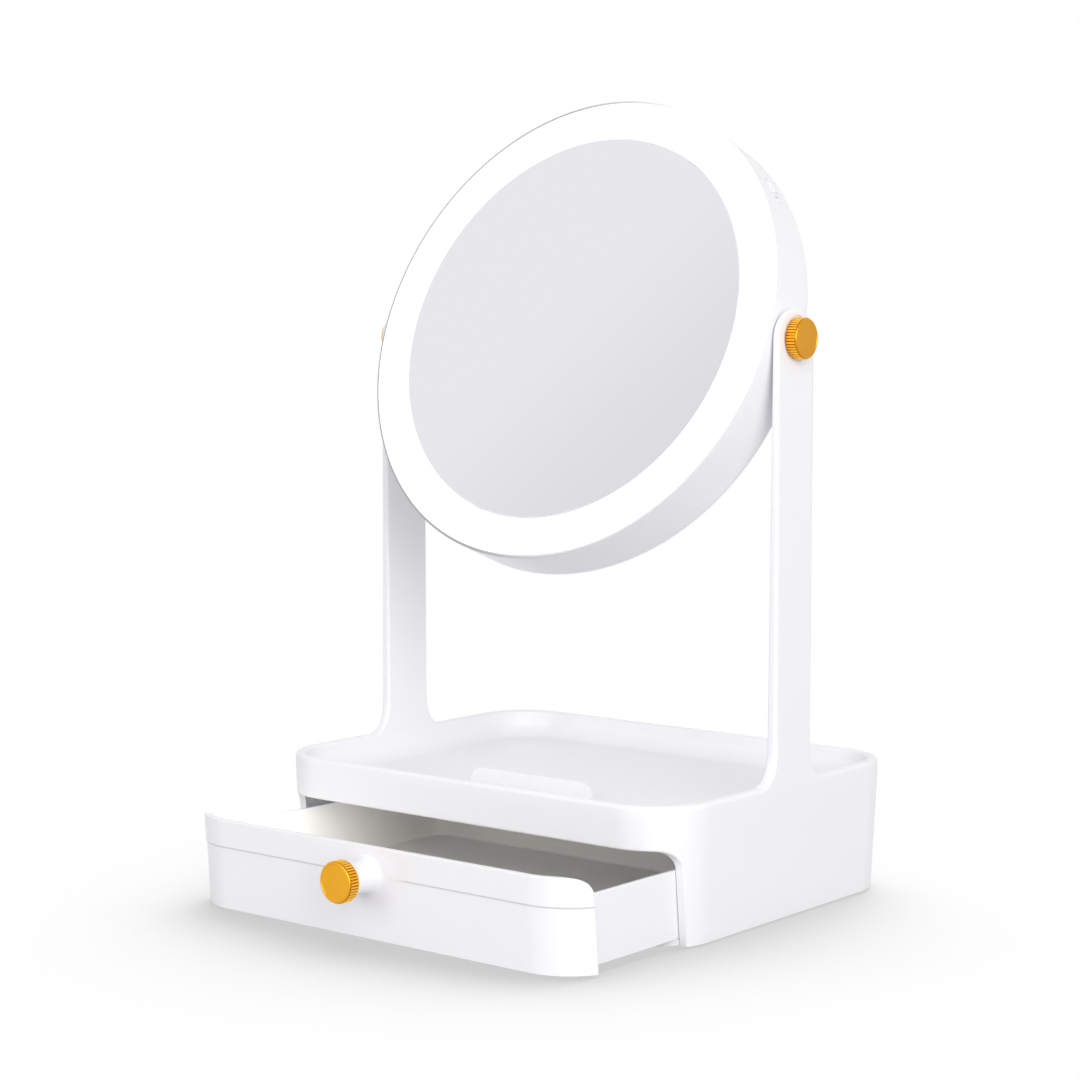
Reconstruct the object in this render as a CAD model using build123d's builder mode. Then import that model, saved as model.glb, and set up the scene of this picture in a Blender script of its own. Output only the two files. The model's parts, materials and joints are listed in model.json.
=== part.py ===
from build123d import *
from math import cos, hypot, radians, sin, tan
import os

# Lighted vanity mirror on a two-post stand, with a tray and one drawer in the case.
# +Z is up, -Y is the front (the drawer opens towards -Y), +X is to the right.
# Everything is drawn about the tilt axis at Y = 0, and save() moves each piece so that
# the origin ends up on the table, under the middle of the whole object.
# All sizes are in millimetres, all angles in degrees.

os.makedirs("parts", exist_ok=True)

# ---------------------------------------------------------------- case and tray
FOOT_HEIGHT = 1.0        # how far the rubber feet stand below the case
CASE_WIDTH = 207.0
CASE_DEPTH = 163.0
CASE_CORNER = 26.0       # corner radius in plan
RIM_TOP = 54.7
RIM_BAND = 6.0           # upright part of the outside, above the drafted part
CASE_DRAFT = 2.6
SIDE_WALL = 3.0          # wall round the drawer bay
FRONT_RIM = 3.2          # tray wall at front and back
SIDE_RIM = 4.6           # tray wall at the sides, as thick as the root of a post
RIM_OUTER_ROUND = 1.8
RIM_INNER_ROUND = 1.2
TRAY_DEPTH = 11.5
TRAY_DRAFT = 4.0
TRAY_COVE = 8.0          # round between the tray's wall and its floor
TRAY_FLOOR_WALL = 2.3

RIB_LENGTH = 62.0        # upright divider in the tray
RIB_THICKNESS = 2.0
RIB_SETBACK = 45.5       # behind the case's front
RIB_BELOW_RIM = 4.0
RIB_END_ROUND = 6.0

# ---------------------------------------------------------------- drawer opening
OPENING_TOP = 37.6
OPENING_ROUND = 8.0      # upper rear corner of the opening, seen from the side
OPENING_EDGE = 1.1       # round on the opening's outer edge
PARTING_TOP_SETBACK = 12.9   # the parting line on the sides leans back towards its foot
PARTING_FOOT_SETBACK = 16.5

# ---------------------------------------------------------------- posts
POST_WIDTH = 22.8        # front to back
POST_TIP_WALL = 3.75     # thickness at the tilt axis; at its root a post is as thick as the rim
POST_FLARE_RUN = 11.0    # flare from post to rim, front and back
POST_FLARE_RISE = 15.0
POST_ROOT_DEPTH = 4.0    # how far a post's block reaches down inside the rim
AXIS_HEIGHT = 227.3      # tilt axis above the table

# ---------------------------------------------------------------- base plate
PLATE_THICKNESS = 2.4
PLATE_GAP = 0.25
GUIDE_HEIGHT = 6.0
GUIDE_THICKNESS = 1.4
GUIDE_GAP = 0.35         # beside the drawer box
GUIDE_FRONT_INSET = 25.5
GUIDE_REAR_INSET = 31.5
FOOT_RADIUS = 6.0
FOOT_RECESS = 0.6
FOOT_FIT = 0.2
FOOT_INSET = 25.5        # middle of a foot to the case's side and front
PILLAR_RADIUS = 3.4
PILLAR_COUNT = 4
PILLAR_SIDE_INSET = 31.5
PILLAR_REAR_INSET = 7.9
PLATE_SCREW_RADIUS = 1.25
PLATE_SCREW_LENGTH = 11.0

# ---------------------------------------------------------------- drawer
DRAWER_OPEN = 52.9       # how far the drawer stands open here
DRAWER_TRAVEL = 100.0    # from shut to the stop
FRONT_GAP = 0.5          # reveal between the drawer front and the opening's top edge
PARTING_GAP = 0.4        # between the drawer front's ends and the case
FRONT_LIFT = 0.2         # drawer front's foot above the case's foot
FRONT_WALL = 2.4
FRONT_STEP_BELOW_TOP = 11.0
FRONT_STEP = 0.4         # the lower part of the face is set back by this
FRONT_END_ROUND = 7.6
BOX_SIDE_INSET = 7.85    # drawer box to the case's side
BOX_TOP = 29.9
BOX_WALL = 1.8
BOX_FLOOR = 2.0
BOX_SEAT = 0.3           # above the base plate
BOX_FRONT_CORNER = 20.0
BOX_REAR_CORNER = 8.0
BOX_INNER_ROUND = 1.5
BOX_FRONT_FIT = 0.15     # between the box and the back of the drawer front
TAB_INSET = 35.65        # stop tabs on the box's rear wall, to the box's side
TAB_WIDTH = 14.0
TAB_UNDER_CEILING = 2.5
STOP_WALL = 2.0
STOP_OVERLAP = 1.8       # how far a stop rib hangs below a tab's top
STOP_GAP = 0.3
FRONT_SCREW_INSET = 33.65
FRONT_SCREW_Z = 15.0
FRONT_SCREW_BITE = 1.5   # depth of the screw in the drawer front
SMALL_SCREW_RADIUS = 1.1

# ---------------------------------------------------------------- knobs
KNOB_RADIUS = 8.4
KNOB_LENGTH = 5.2
KNOB_BEVEL = 0.9
KNOB_DISH = 0.25         # the plain face is sunk by this
KNOB_DISH_RADIUS = 7.1
KNURL_COUNT = 44
KNURL_SIZE = 0.72        # side of the square cutter
KNURL_LAND = 0.4         # plain land between knurl and bevel
KNOB_BORE_DEPTH = 3.8
KNOB_SEAT_GAP = 0.15
KNOB_SEAT_SINK = 1.3     # the side knobs stand in shallow seats in the posts
KNOB_SEAT_RADIUS = 9.0
DRAWER_KNOB_HEIGHT = 25.9
PEDESTAL_HEIGHT = 12.0   # flared pedestal that carries the drawer knob
PEDESTAL_RADIUS = 7.5
PEDESTAL_FLARE = 8.6
FLARE_TIGHTNESS = 0.17   # 1 is a slack flare, 0 a sharp corner
KNOB_SCREW_RADIUS = 1.45
SCREW_FIT = 0.05
SCREW_CLEARANCE = 0.25
HEAD_RATIO = 1.95        # screw head radius over shank radius
HEAD_HEIGHT_RATIO = 1.0  # screw head height over shank radius
DRIVE_RATIO = 0.9        # hexagon drive radius over shank radius

# ---------------------------------------------------------------- mirror head
TILT = 21.2              # how far the mirror leans back here
SECTION_TURN = -78.0     # round parts are turned from a section at this angle, clear of all holes
HEAD_SIDE_GAP = 0.55     # head to post, beside the washer
HEAD_WALL = 2.4
FACE_W = 14.9            # front of the light ring, ahead of the tilt axis
BACK_W = -13.6           # edge of the back
BACK_CROWN = 1.4         # the back is domed by this
BACK_ROUND = 6.0
RING_EDGE = 1.5          # light ring's outer edge, down to the seam
SEAM_GAP = 0.2           # seam between the ring's edge and the shell
RING_WALL = 2.0
RING_EDGE_ROUND = 0.6
RING_SKIRT_WALL = 1.4
RING_FIT = 0.2
RING_WIDTH = 16.8        # lit ring, from the glass to the outside
GLASS_FIT = 0.3
GLASS_SETBACK = 0.6
GLASS_THICKNESS = 3.0
GLASS_EDGE = 0.4
PAD_THICKNESS = 0.8
PAD_INSET = 4.4
FRAME_WALL = 2.0         # inner frame that carries glass and light
CHANNEL_DEPTH = 2.5
BOARD_THICKNESS = 1.0
LED_BOARD_INSET = 4.2    # board to the glass
LED_BOARD_WIDTH = 7.0
LED_COUNT = 48
LED_LENGTH = 3.5
LED_WIDTH = 2.8
LED_HEIGHT = 0.8
FRAME_BOSS_COUNT = 6
FRAME_BOSS_INSET = 10.4  # middle of a boss to the glass's edge
FRAME_BOSS_RADIUS = 3.6
FRAME_BOSS_LENGTH = 7.0
COLUMN_RADIUS = 4.2      # columns of the shell under the frame's bosses
COLUMN_GAP = 0.15
HEAD_SCREW_RADIUS = 1.3
HEAD_SCREW_BITE = 6.0
HEAD_SCREW_SINK = 1.0    # screw heads sit this far below the back

# ---------------------------------------------------------------- tilt pivots
STUD_RADIUS = 2.2
STUD_RUNNING = 0.06      # radial clearance in the posts
WASHER_RADIUS = 7.0
WASHER_THICKNESS = 1.0
WASHER_GAP = 0.3         # washer to post
STUD_TAIL = 1.0          # stud beyond its nut
SPOT_CLEARANCE = 0.8     # flat on the head, wider than the washer
PIVOT_BOSS_RADIUS = 5.6
PIVOT_BOSS_LENGTH = 9.0
NUT_RADIUS = 3.9
NUT_THICKNESS = 3.2

# ---------------------------------------------------------------- slide switch
SWITCH_ANGLE = 38.9      # round the rim, up from the right pivot
SWITCH_W = 1.3
SWITCH_TRAVEL = 3.0
SWITCH_END_GAP = 0.3     # cap to the end of its recess
CAP_LENGTH = 9.6
CAP_WIDTH = 4.6
CAP_THICKNESS = 0.7
CAP_SEAT = 0.15          # cap above the floor of the recess
CAP_RIB_LENGTH = 5.6
CAP_RIB_WIDTH = 1.5
CAP_RIB_HEIGHT = 0.8
CAP_STEM = 2.2
CAP_STEM_DEPTH = 3.4
CAP_STEM_GAP = 0.3
RECESS_WIDTH = 5.4
RECESS_DEPTH = 1.0
SWITCH_BODY_LENGTH = 10.4
SWITCH_BODY_WIDTH = 5.0
SWITCH_BODY_HEIGHT = 3.8
SWITCH_BODY_GAP = 0.45   # body to the rim's inner wall
SWITCH_BOARD_LENGTH = 22.0
SWITCH_BOARD_WIDTH = 8.0
SWITCH_POST_RADIUS = 1.6
SWITCH_POST_X = 8.4

# ---------------------------------------------------------------- power
CELL_LENGTH = 60.0
CELL_WIDTH = 40.0
CELL_THICKNESS = 7.0
CELL_Y = 18.0
CELL_FIT = 0.3
HEAD_FLOOR_WALL = 1.5
CRADLE_HEIGHT = 4.0
MAIN_BOARD_LENGTH = 46.0
MAIN_BOARD_WIDTH = 24.0
MAIN_BOARD_INSET = 14.0  # middle of the board to the circle of the bosses
PORT_LENGTH = 9.0
PORT_WIDTH = 3.2
PORT_HEIGHT = 9.3
PORT_FIT = 0.3
PORT_SUNK = 0.5
PORT_WALL = 0.4
PORT_DEPTH = 6.0
STANDOFF_RADIUS = 2.4
STANDOFF_INSET = 3.2

# ================================================================ derived sizes
QUARTER_TURN = 90
HALF_WIDTH = CASE_WIDTH / 2
HALF_DEPTH = CASE_DEPTH / 2
DRAFT_START = RIM_TOP - RIM_BAND
TRAY_FLOOR = RIM_TOP - TRAY_DEPTH
BAY_CEILING = TRAY_FLOOR - TRAY_FLOOR_WALL
PLATE_TOP = FOOT_HEIGHT + PLATE_THICKNESS
RIB_Y = RIB_SETBACK - HALF_DEPTH
PARTING_TOP_Y = PARTING_TOP_SETBACK - HALF_DEPTH
PARTING_FOOT_Y = PARTING_FOOT_SETBACK - HALF_DEPTH
POST_OUTER = HALF_WIDTH
POST_INNER_ROOT = POST_OUTER - SIDE_RIM
POST_INNER_AXIS = POST_OUTER - POST_TIP_WALL
POST_TOP = AXIS_HEIGHT + POST_WIDTH / 2
OUTSIDE = CASE_WIDTH     # long enough to cut right through
FOOT_X = HALF_WIDTH - FOOT_INSET
FOOT_Y = HALF_DEPTH - FOOT_INSET
GUIDE_FRONT_Y = GUIDE_FRONT_INSET - HALF_DEPTH
GUIDE_REAR_Y = HALF_DEPTH - GUIDE_REAR_INSET
PILLAR_PITCH = (CASE_WIDTH - 2 * PILLAR_SIDE_INSET) / (PILLAR_COUNT - 1)
PILLAR_Y = HALF_DEPTH - PILLAR_REAR_INSET

FRONT_TOP = OPENING_TOP - FRONT_GAP
FRONT_BOTTOM = FOOT_HEIGHT + FRONT_LIFT
FRONT_STEP_Z = FRONT_TOP - FRONT_STEP_BELOW_TOP
BOX_WIDTH = CASE_WIDTH - 2 * BOX_SIDE_INSET
TAB_X = BOX_WIDTH / 2 - TAB_INSET
FRONT_SCREW_X = BOX_WIDTH / 2 - FRONT_SCREW_INSET
BOX_BOTTOM = PLATE_TOP + BOX_SEAT
TAB_TOP = BAY_CEILING - TAB_UNDER_CEILING
STOP_BOTTOM = TAB_TOP - STOP_OVERLAP
BOX_REAR_Y = PILLAR_Y - PILLAR_RADIUS - STOP_GAP
STOP_Y = BOX_REAR_Y - BOX_WALL - DRAWER_TRAVEL - STOP_GAP

NORMAL = Vector(0, -cos(radians(TILT)), sin(radians(TILT)))
HEAD_UP = Vector(0, sin(radians(TILT)), cos(radians(TILT)))
HEAD_CENTRE = Vector(0, 0, AXIS_HEIGHT)
HEAD_AXIS = Axis(HEAD_CENTRE, NORMAL)
section_out = Vector(cos(radians(SECTION_TURN)), 0, 0) + HEAD_UP * sin(radians(SECTION_TURN))
HEAD_SECTION = Plane(origin=HEAD_CENTRE, x_dir=section_out, z_dir=section_out.cross(NORMAL))
SEAM_W = FACE_W - RING_EDGE
HEAD_RADIUS = POST_INNER_AXIS - HEAD_SIDE_GAP
GLASS_RADIUS = HEAD_RADIUS - RING_WIDTH
PAD_RADIUS = GLASS_RADIUS - PAD_INSET
LED_BOARD_INNER = GLASS_RADIUS + LED_BOARD_INSET
LED_BOARD_OUTER = LED_BOARD_INNER + LED_BOARD_WIDTH
FRAME_BOSS_CIRCLE = GLASS_RADIUS - FRAME_BOSS_INSET
MAIN_BOARD_Y = MAIN_BOARD_INSET - FRAME_BOSS_CIRCLE
HEAD_INNER = HEAD_RADIUS - HEAD_WALL
RING_INNER = GLASS_RADIUS + GLASS_FIT
GLASS_W = FACE_W - GLASS_SETBACK
SEAT_W = GLASS_W - GLASS_THICKNESS - PAD_THICKNESS
CHANNEL_W = SEAT_W - CHANNEL_DEPTH
FRAME_RADIUS = HEAD_INNER - RING_FIT
FRAME_UNDER_W = CHANNEL_W - FRAME_WALL
PIVOT_FLAT = POST_INNER_AXIS - WASHER_GAP - WASHER_THICKNESS
KNOB_SEAT_X = POST_OUTER - KNOB_SEAT_SINK + KNOB_SEAT_GAP
STUD_OUTER = KNOB_SEAT_X + KNOB_BORE_DEPTH
NUT_X = HEAD_INNER - PIVOT_BOSS_LENGTH
BACK_CENTRE_W = BACK_W - BACK_CROWN
HEAD_FLOOR_W = BACK_W + HEAD_WALL
RECESS_LENGTH = CAP_LENGTH + SWITCH_TRAVEL + 2 * SWITCH_END_GAP
SWITCH_BOARD_OUT = HEAD_INNER - SWITCH_BODY_GAP - SWITCH_BODY_HEIGHT


# ================================================================ helpers
def case_size(height, inset=0.0):
    """Width, depth and corner radius of the case's outside at a height, moved in by inset."""
    shrink = max(DRAFT_START - height, 0) * tan(radians(CASE_DRAFT)) + inset
    return CASE_WIDTH - 2 * shrink, CASE_DEPTH - 2 * shrink, CASE_CORNER - shrink


def face_y(height):
    """Y of the case's front face at a height."""
    return -case_size(height)[1] / 2


def skin_distance(point, forward=0.0):
    """How far a point lies outside the case's outer skin; forward moves the skin with the drawer."""
    width, depth, corner = case_size(point.Z)
    across = abs(point.X) - width / 2 + corner
    along = abs(point.Y + forward) - depth / 2 + corner
    return hypot(max(across, 0), max(along, 0)) + min(max(across, along), 0) - corner


def parting_y(height):
    """Y of the parting line between case and drawer front at a height."""
    lean = (PARTING_TOP_Y - PARTING_FOOT_Y) / OPENING_TOP
    return PARTING_FOOT_Y + lean * height


def drawer_level(height):
    """Horizontal plane at a height, at the place where the drawer stands."""
    return Plane(origin=(0, -DRAWER_OPEN, height))


PEDESTAL_END = face_y(DRAWER_KNOB_HEIGHT) - PEDESTAL_HEIGHT
FRONT_REACH = DRAWER_OPEN - PEDESTAL_END + KNOB_SEAT_GAP + KNOB_LENGTH
FRAME_SHIFT = (FRONT_REACH - HALF_DEPTH) / 2
DRAWER_SIDE = Plane(origin=(0, -DRAWER_OPEN, 0), x_dir=(0, 1, 0), z_dir=(1, 0, 0))


def drawer_front_plane(y):
    """Upright plane facing forward, y from the middle of the shut drawer."""
    return Plane(origin=(0, y - DRAWER_OPEN, 0), x_dir=(1, 0, 0), z_dir=(0, -1, 0))


def head_level(w):
    """Plane parallel to the mirror, w ahead of the tilt axis."""
    return Plane(origin=HEAD_CENTRE + NORMAL * w, x_dir=(1, 0, 0), z_dir=NORMAL)


def back_w(radius):
    """W of the domed back at a radius."""
    return BACK_CENTRE_W + BACK_CROWN * (radius / (HEAD_RADIUS - BACK_ROUND)) ** 2


def side_plane(x, side=1):
    """Upright plane at x on the tilt axis, facing outwards; side is 1 right, -1 left."""
    return Plane(origin=(side * x, 0, AXIS_HEIGHT), x_dir=(0, side, 0), z_dir=(side, 0, 0))


def rim_plane(radius):
    """Plane square to the rim's radius at the slide switch, facing outwards."""
    out = Vector(cos(radians(SWITCH_ANGLE)), 0, 0) + HEAD_UP * sin(radians(SWITCH_ANGLE))
    along = HEAD_UP * cos(radians(SWITCH_ANGLE)) - Vector(sin(radians(SWITCH_ANGLE)), 0, 0)
    return Plane(origin=HEAD_CENTRE + NORMAL * SWITCH_W + out * radius, x_dir=along, z_dir=out)


def screw(seat, radius, length):
    """Pan-head screw, its head standing on seat and its shank running along -z of seat."""
    with BuildPart() as fastener:
        with BuildSketch(seat):
            Circle(radius * HEAD_RATIO)
        extrude(amount=radius * HEAD_HEIGHT_RATIO)
        with BuildSketch(seat.offset(radius * HEAD_HEIGHT_RATIO)):
            RegularPolygon(radius * DRIVE_RATIO, 6)
        extrude(amount=-radius * HEAD_HEIGHT_RATIO * 0.6, mode=Mode.SUBTRACT)
        with BuildSketch(seat):
            Circle(radius)
        extrude(amount=-length)
    return fastener.part


def knurled_knob(seat, bore_radius):
    """Round knob with a straight knurl, standing on seat; the same part is used three times."""
    with BuildPart() as knob:
        with BuildSketch(seat):
            Circle(KNOB_RADIUS)
        extrude(amount=KNOB_LENGTH)
        chamfer(knob.faces().sort_by(Axis(seat.origin, seat.z_dir))[-1].edges(), KNOB_BEVEL)
        with BuildSketch(seat):
            with PolarLocations(KNOB_RADIUS, KNURL_COUNT):
                Rectangle(KNURL_SIZE, KNURL_SIZE, rotation=45)
        extrude(amount=KNOB_LENGTH - KNOB_BEVEL - KNURL_LAND, mode=Mode.SUBTRACT)
        with BuildSketch(seat.offset(KNOB_LENGTH)):
            Circle(KNOB_DISH_RADIUS)
        extrude(amount=-KNOB_DISH, mode=Mode.SUBTRACT)
        with BuildSketch(seat):
            Circle(bore_radius)
        extrude(amount=KNOB_BORE_DEPTH + SCREW_FIT, mode=Mode.SUBTRACT)
    return knob.part


def save(part, name):
    """Move a finished piece into the shared frame, label it and write it under its own name."""
    placed = part.moved(Location((0, FRAME_SHIFT, 0)))
    placed.label = name
    export_step(placed, f"parts/{name}.step")


# ================================================================ posts
# One side view through both posts, cut by the front view of their two thicknesses.
with BuildPart() as posts:
    half = POST_WIDTH / 2
    flare_y = half + POST_FLARE_RUN
    flare_z = RIM_TOP + POST_FLARE_RISE
    root_z = RIM_TOP - POST_ROOT_DEPTH
    with BuildSketch(Plane.YZ):
        with BuildLine():
            Polyline((-flare_y, RIM_TOP), (-flare_y, root_z), (flare_y, root_z), (flare_y, RIM_TOP))
            EllipticalCenterArc(
                (flare_y, flare_z), POST_FLARE_RUN, POST_FLARE_RISE,
                start_angle=2 * QUARTER_TURN, arc_size=QUARTER_TURN,
            )
            Line((half, flare_z), (half, AXIS_HEIGHT))
            ThreePointArc((-half, AXIS_HEIGHT), (0, AXIS_HEIGHT + half), (half, AXIS_HEIGHT))
            Line((-half, flare_z), (-half, AXIS_HEIGHT))
            EllipticalCenterArc(
                (-flare_y, flare_z), POST_FLARE_RUN, POST_FLARE_RISE,
                start_angle=3 * QUARTER_TURN, arc_size=QUARTER_TURN,
            )
        make_face()
    extrude(amount=OUTSIDE, both=True)
    inner_slope = (POST_INNER_AXIS - POST_INNER_ROOT) / (AXIS_HEIGHT - RIM_TOP)
    inner_top = POST_INNER_ROOT + inner_slope * (POST_TOP + 1 - RIM_TOP)
    with BuildSketch(Plane.XZ):
        with BuildLine():
            Polyline(
                (POST_INNER_ROOT, root_z),
                (POST_OUTER, root_z),
                (POST_OUTER, POST_TOP + 1),
                (inner_top, POST_TOP + 1),
                (POST_INNER_ROOT, RIM_TOP),
                close=True,
            )
        make_face()
        mirror(about=Plane.YZ)
    extrude(amount=OUTSIDE, both=True, mode=Mode.INTERSECT)
    long_edges = posts.edges().filter_by(lambda e: e.center().Z > RIM_TOP and e.length > 2 * SIDE_RIM)
    outer_edges = long_edges.filter_by(lambda e: abs(abs(e.center().X) - POST_OUTER) < 0.01)
    fillet(outer_edges, RIM_OUTER_ROUND)
    long_edges = posts.edges().filter_by(lambda e: e.center().Z > RIM_TOP and e.length > 2 * SIDE_RIM)
    inner_edges = long_edges.filter_by(lambda e: abs(e.center().X) < POST_OUTER - RIM_OUTER_ROUND - 1)
    fillet(inner_edges, RIM_INNER_ROUND)

# ================================================================ base housing
with BuildPart() as base_housing:
    with BuildSketch(Plane.XY.offset(DRAFT_START)):
        RectangleRounded(*case_size(DRAFT_START))
    extrude(amount=RIM_BAND)
    with BuildSketch(Plane.XY.offset(DRAFT_START)):
        RectangleRounded(*case_size(DRAFT_START))
    extrude(amount=FOOT_HEIGHT - DRAFT_START, taper=CASE_DRAFT)

    # tray
    with BuildSketch(Plane.XY.offset(RIM_TOP)):
        RectangleRounded(CASE_WIDTH - 2 * SIDE_RIM, CASE_DEPTH - 2 * FRONT_RIM, CASE_CORNER - FRONT_RIM)
    extrude(amount=-TRAY_DEPTH, taper=TRAY_DRAFT, mode=Mode.SUBTRACT)
    fillet(base_housing.edges().filter_by_position(Axis.Z, TRAY_FLOOR - 0.01, TRAY_FLOOR + 0.01), TRAY_COVE)
    rim = base_housing.faces().sort_by(Axis.Z)[-1]
    fillet(rim.outer_wire().edges(), RIM_OUTER_ROUND)
    rim = base_housing.faces().sort_by(Axis.Z)[-1]
    fillet(rim.inner_wires()[0].edges(), RIM_INNER_ROUND)

    add(posts.part)

    # drawer bay, and the opening that wraps round both front corners
    with BuildSketch(Plane.XY.offset(BAY_CEILING)):
        RectangleRounded(*case_size(BAY_CEILING, SIDE_WALL))
    extrude(amount=-BAY_CEILING, taper=CASE_DRAFT, mode=Mode.SUBTRACT)
    with BuildSketch(Plane.YZ):
        with BuildLine():
            opening = FilletPolyline(
                (-CASE_DEPTH, OPENING_TOP),
                (PARTING_TOP_Y, OPENING_TOP),
                (PARTING_FOOT_Y, 0),
                radius=OPENING_ROUND,
            )
            Polyline((PARTING_FOOT_Y, 0), (-CASE_DEPTH, 0), (-CASE_DEPTH, OPENING_TOP))
        make_face()
    extrude(amount=OUTSIDE, both=True, mode=Mode.SUBTRACT)
    opening_edges = base_housing.edges().filter_by(
        lambda e: e.center().Z < OPENING_TOP + 0.01
        and e.center().Z > FOOT_HEIGHT + 0.01
        and e.center().Y < PARTING_FOOT_Y
        and abs(skin_distance(e.center())) < 0.05
    )
    fillet(opening_edges, OPENING_EDGE)

    # divider in the tray
    rib_foot = TRAY_FLOOR - TRAY_FLOOR_WALL / 2
    rib_top = RIM_TOP - RIB_BELOW_RIM
    with BuildSketch(Plane.XZ.offset(-RIB_Y)) as rib:
        with Locations((0, (rib_foot + rib_top) / 2)):
            Rectangle(RIB_LENGTH, rib_top - rib_foot)
        fillet(rib.vertices().group_by(Axis.Y)[-1], RIB_END_ROUND)
    extrude(amount=RIB_THICKNESS / 2, both=True)

    # pillars for the base plate's screws, and the two stop ribs under the tray
    with BuildSketch(Plane.XY.offset(PLATE_TOP)):
        with Locations((0, PILLAR_Y)):
            with GridLocations(PILLAR_PITCH, 1, PILLAR_COUNT, 1):
                Circle(PILLAR_RADIUS)
    extrude(amount=BAY_CEILING - PLATE_TOP)
    with BuildSketch(Plane.XY.offset(PLATE_TOP)):
        with Locations((0, PILLAR_Y)):
            with GridLocations(PILLAR_PITCH, 1, PILLAR_COUNT, 1):
                Circle(PLATE_SCREW_RADIUS + SCREW_FIT)
    extrude(amount=PLATE_SCREW_LENGTH, mode=Mode.SUBTRACT)
    with BuildSketch(Plane.XY.offset(STOP_BOTTOM)):
        with Locations((0, STOP_Y - STOP_WALL / 2)):
            with GridLocations(2 * TAB_X, 1, 2, 1):
                Rectangle(TAB_WIDTH, STOP_WALL)
    extrude(amount=BAY_CEILING - STOP_BOTTOM)

    # holes for the pivot studs, and shallow seats for the two knobs
    with BuildSketch(Plane.YZ):
        with Locations((0, AXIS_HEIGHT)):
            Circle(STUD_RADIUS + STUD_RUNNING)
    extrude(amount=OUTSIDE, both=True, mode=Mode.SUBTRACT)
    with BuildSketch(side_plane(POST_OUTER, 1), side_plane(POST_OUTER, -1)):
        Circle(KNOB_SEAT_RADIUS)
    extrude(amount=-KNOB_SEAT_SINK, mode=Mode.SUBTRACT)

save(base_housing.part, "base_housing")

# ================================================================ base plate and feet
plate_width, plate_depth, plate_corner = case_size(FOOT_HEIGHT, SIDE_WALL + PLATE_GAP)
foot_spots = [(x, y) for x in (-FOOT_X, FOOT_X) for y in (-FOOT_Y, FOOT_Y)]
guide_x = BOX_WIDTH / 2 + GUIDE_GAP + GUIDE_THICKNESS / 2

with BuildPart() as base_plate:
    with BuildSketch(Plane.XY.offset(FOOT_HEIGHT)):
        RectangleRounded(plate_width, plate_depth, plate_corner)
    extrude(amount=PLATE_THICKNESS)
    with BuildSketch(Plane.XY.offset(PLATE_TOP)):
        with Locations((0, (GUIDE_FRONT_Y + GUIDE_REAR_Y) / 2)):
            with GridLocations(2 * guide_x, 1, 2, 1):
                Rectangle(GUIDE_THICKNESS, GUIDE_REAR_Y - GUIDE_FRONT_Y)
    extrude(amount=GUIDE_HEIGHT)
    with BuildSketch(Plane.XY.offset(FOOT_HEIGHT)):
        with Locations(*foot_spots):
            Circle(FOOT_RADIUS + FOOT_FIT)
    extrude(amount=FOOT_RECESS, mode=Mode.SUBTRACT)
    with Locations(Plane((0, PILLAR_Y, FOOT_HEIGHT), z_dir=(0, 0, -1))):
        with GridLocations(PILLAR_PITCH, 1, PILLAR_COUNT, 1):
            CounterBoreHole(
                radius=PLATE_SCREW_RADIUS + SCREW_CLEARANCE,
                counter_bore_radius=PLATE_SCREW_RADIUS * HEAD_RATIO + SCREW_CLEARANCE,
                counter_bore_depth=PLATE_SCREW_RADIUS * HEAD_HEIGHT_RATIO + SCREW_FIT,
            )
save(base_plate.part, "base_plate")

with BuildPart() as rubber_feet:
    with BuildSketch(Plane.XY):
        with Locations(*foot_spots):
            Circle(FOOT_RADIUS)
    extrude(amount=FOOT_HEIGHT + FOOT_RECESS)
    fillet(rubber_feet.edges().group_by(Axis.Z)[0], FOOT_RECESS / 2)
save(rubber_feet.part, "rubber_feet")

with BuildPart() as base_screws:
    head_seat = FOOT_HEIGHT + PLATE_SCREW_RADIUS * HEAD_HEIGHT_RATIO + SCREW_FIT
    for index in range(PILLAR_COUNT):
        x = (index - (PILLAR_COUNT - 1) / 2) * PILLAR_PITCH
        add(screw(Plane((x, PILLAR_Y, head_seat), z_dir=(0, 0, -1)), PLATE_SCREW_RADIUS, PLATE_SCREW_LENGTH))
save(base_screws.part, "base_screws")


# ================================================================ drawer
def box_block(inset, bottom):
    """Block with the outline of the drawer box, moved in by inset, from bottom up to the box's top."""
    with BuildPart() as block:
        with BuildSketch(drawer_level(bottom)):
            with Locations((0, (BOX_REAR_Y - inset - CASE_DEPTH) / 2)):
                RectangleRounded(BOX_WIDTH - 2 * inset, BOX_REAR_Y - inset + CASE_DEPTH, BOX_REAR_CORNER - inset)
        extrude(amount=BOX_TOP - bottom)
        with BuildSketch(drawer_level(BOX_TOP)):
            RectangleRounded(*case_size(BOX_TOP, FRONT_STEP + FRONT_WALL + BOX_FRONT_FIT + inset))
        extrude(amount=bottom - BOX_TOP, taper=CASE_DRAFT, mode=Mode.INTERSECT)
    return block.part


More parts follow.
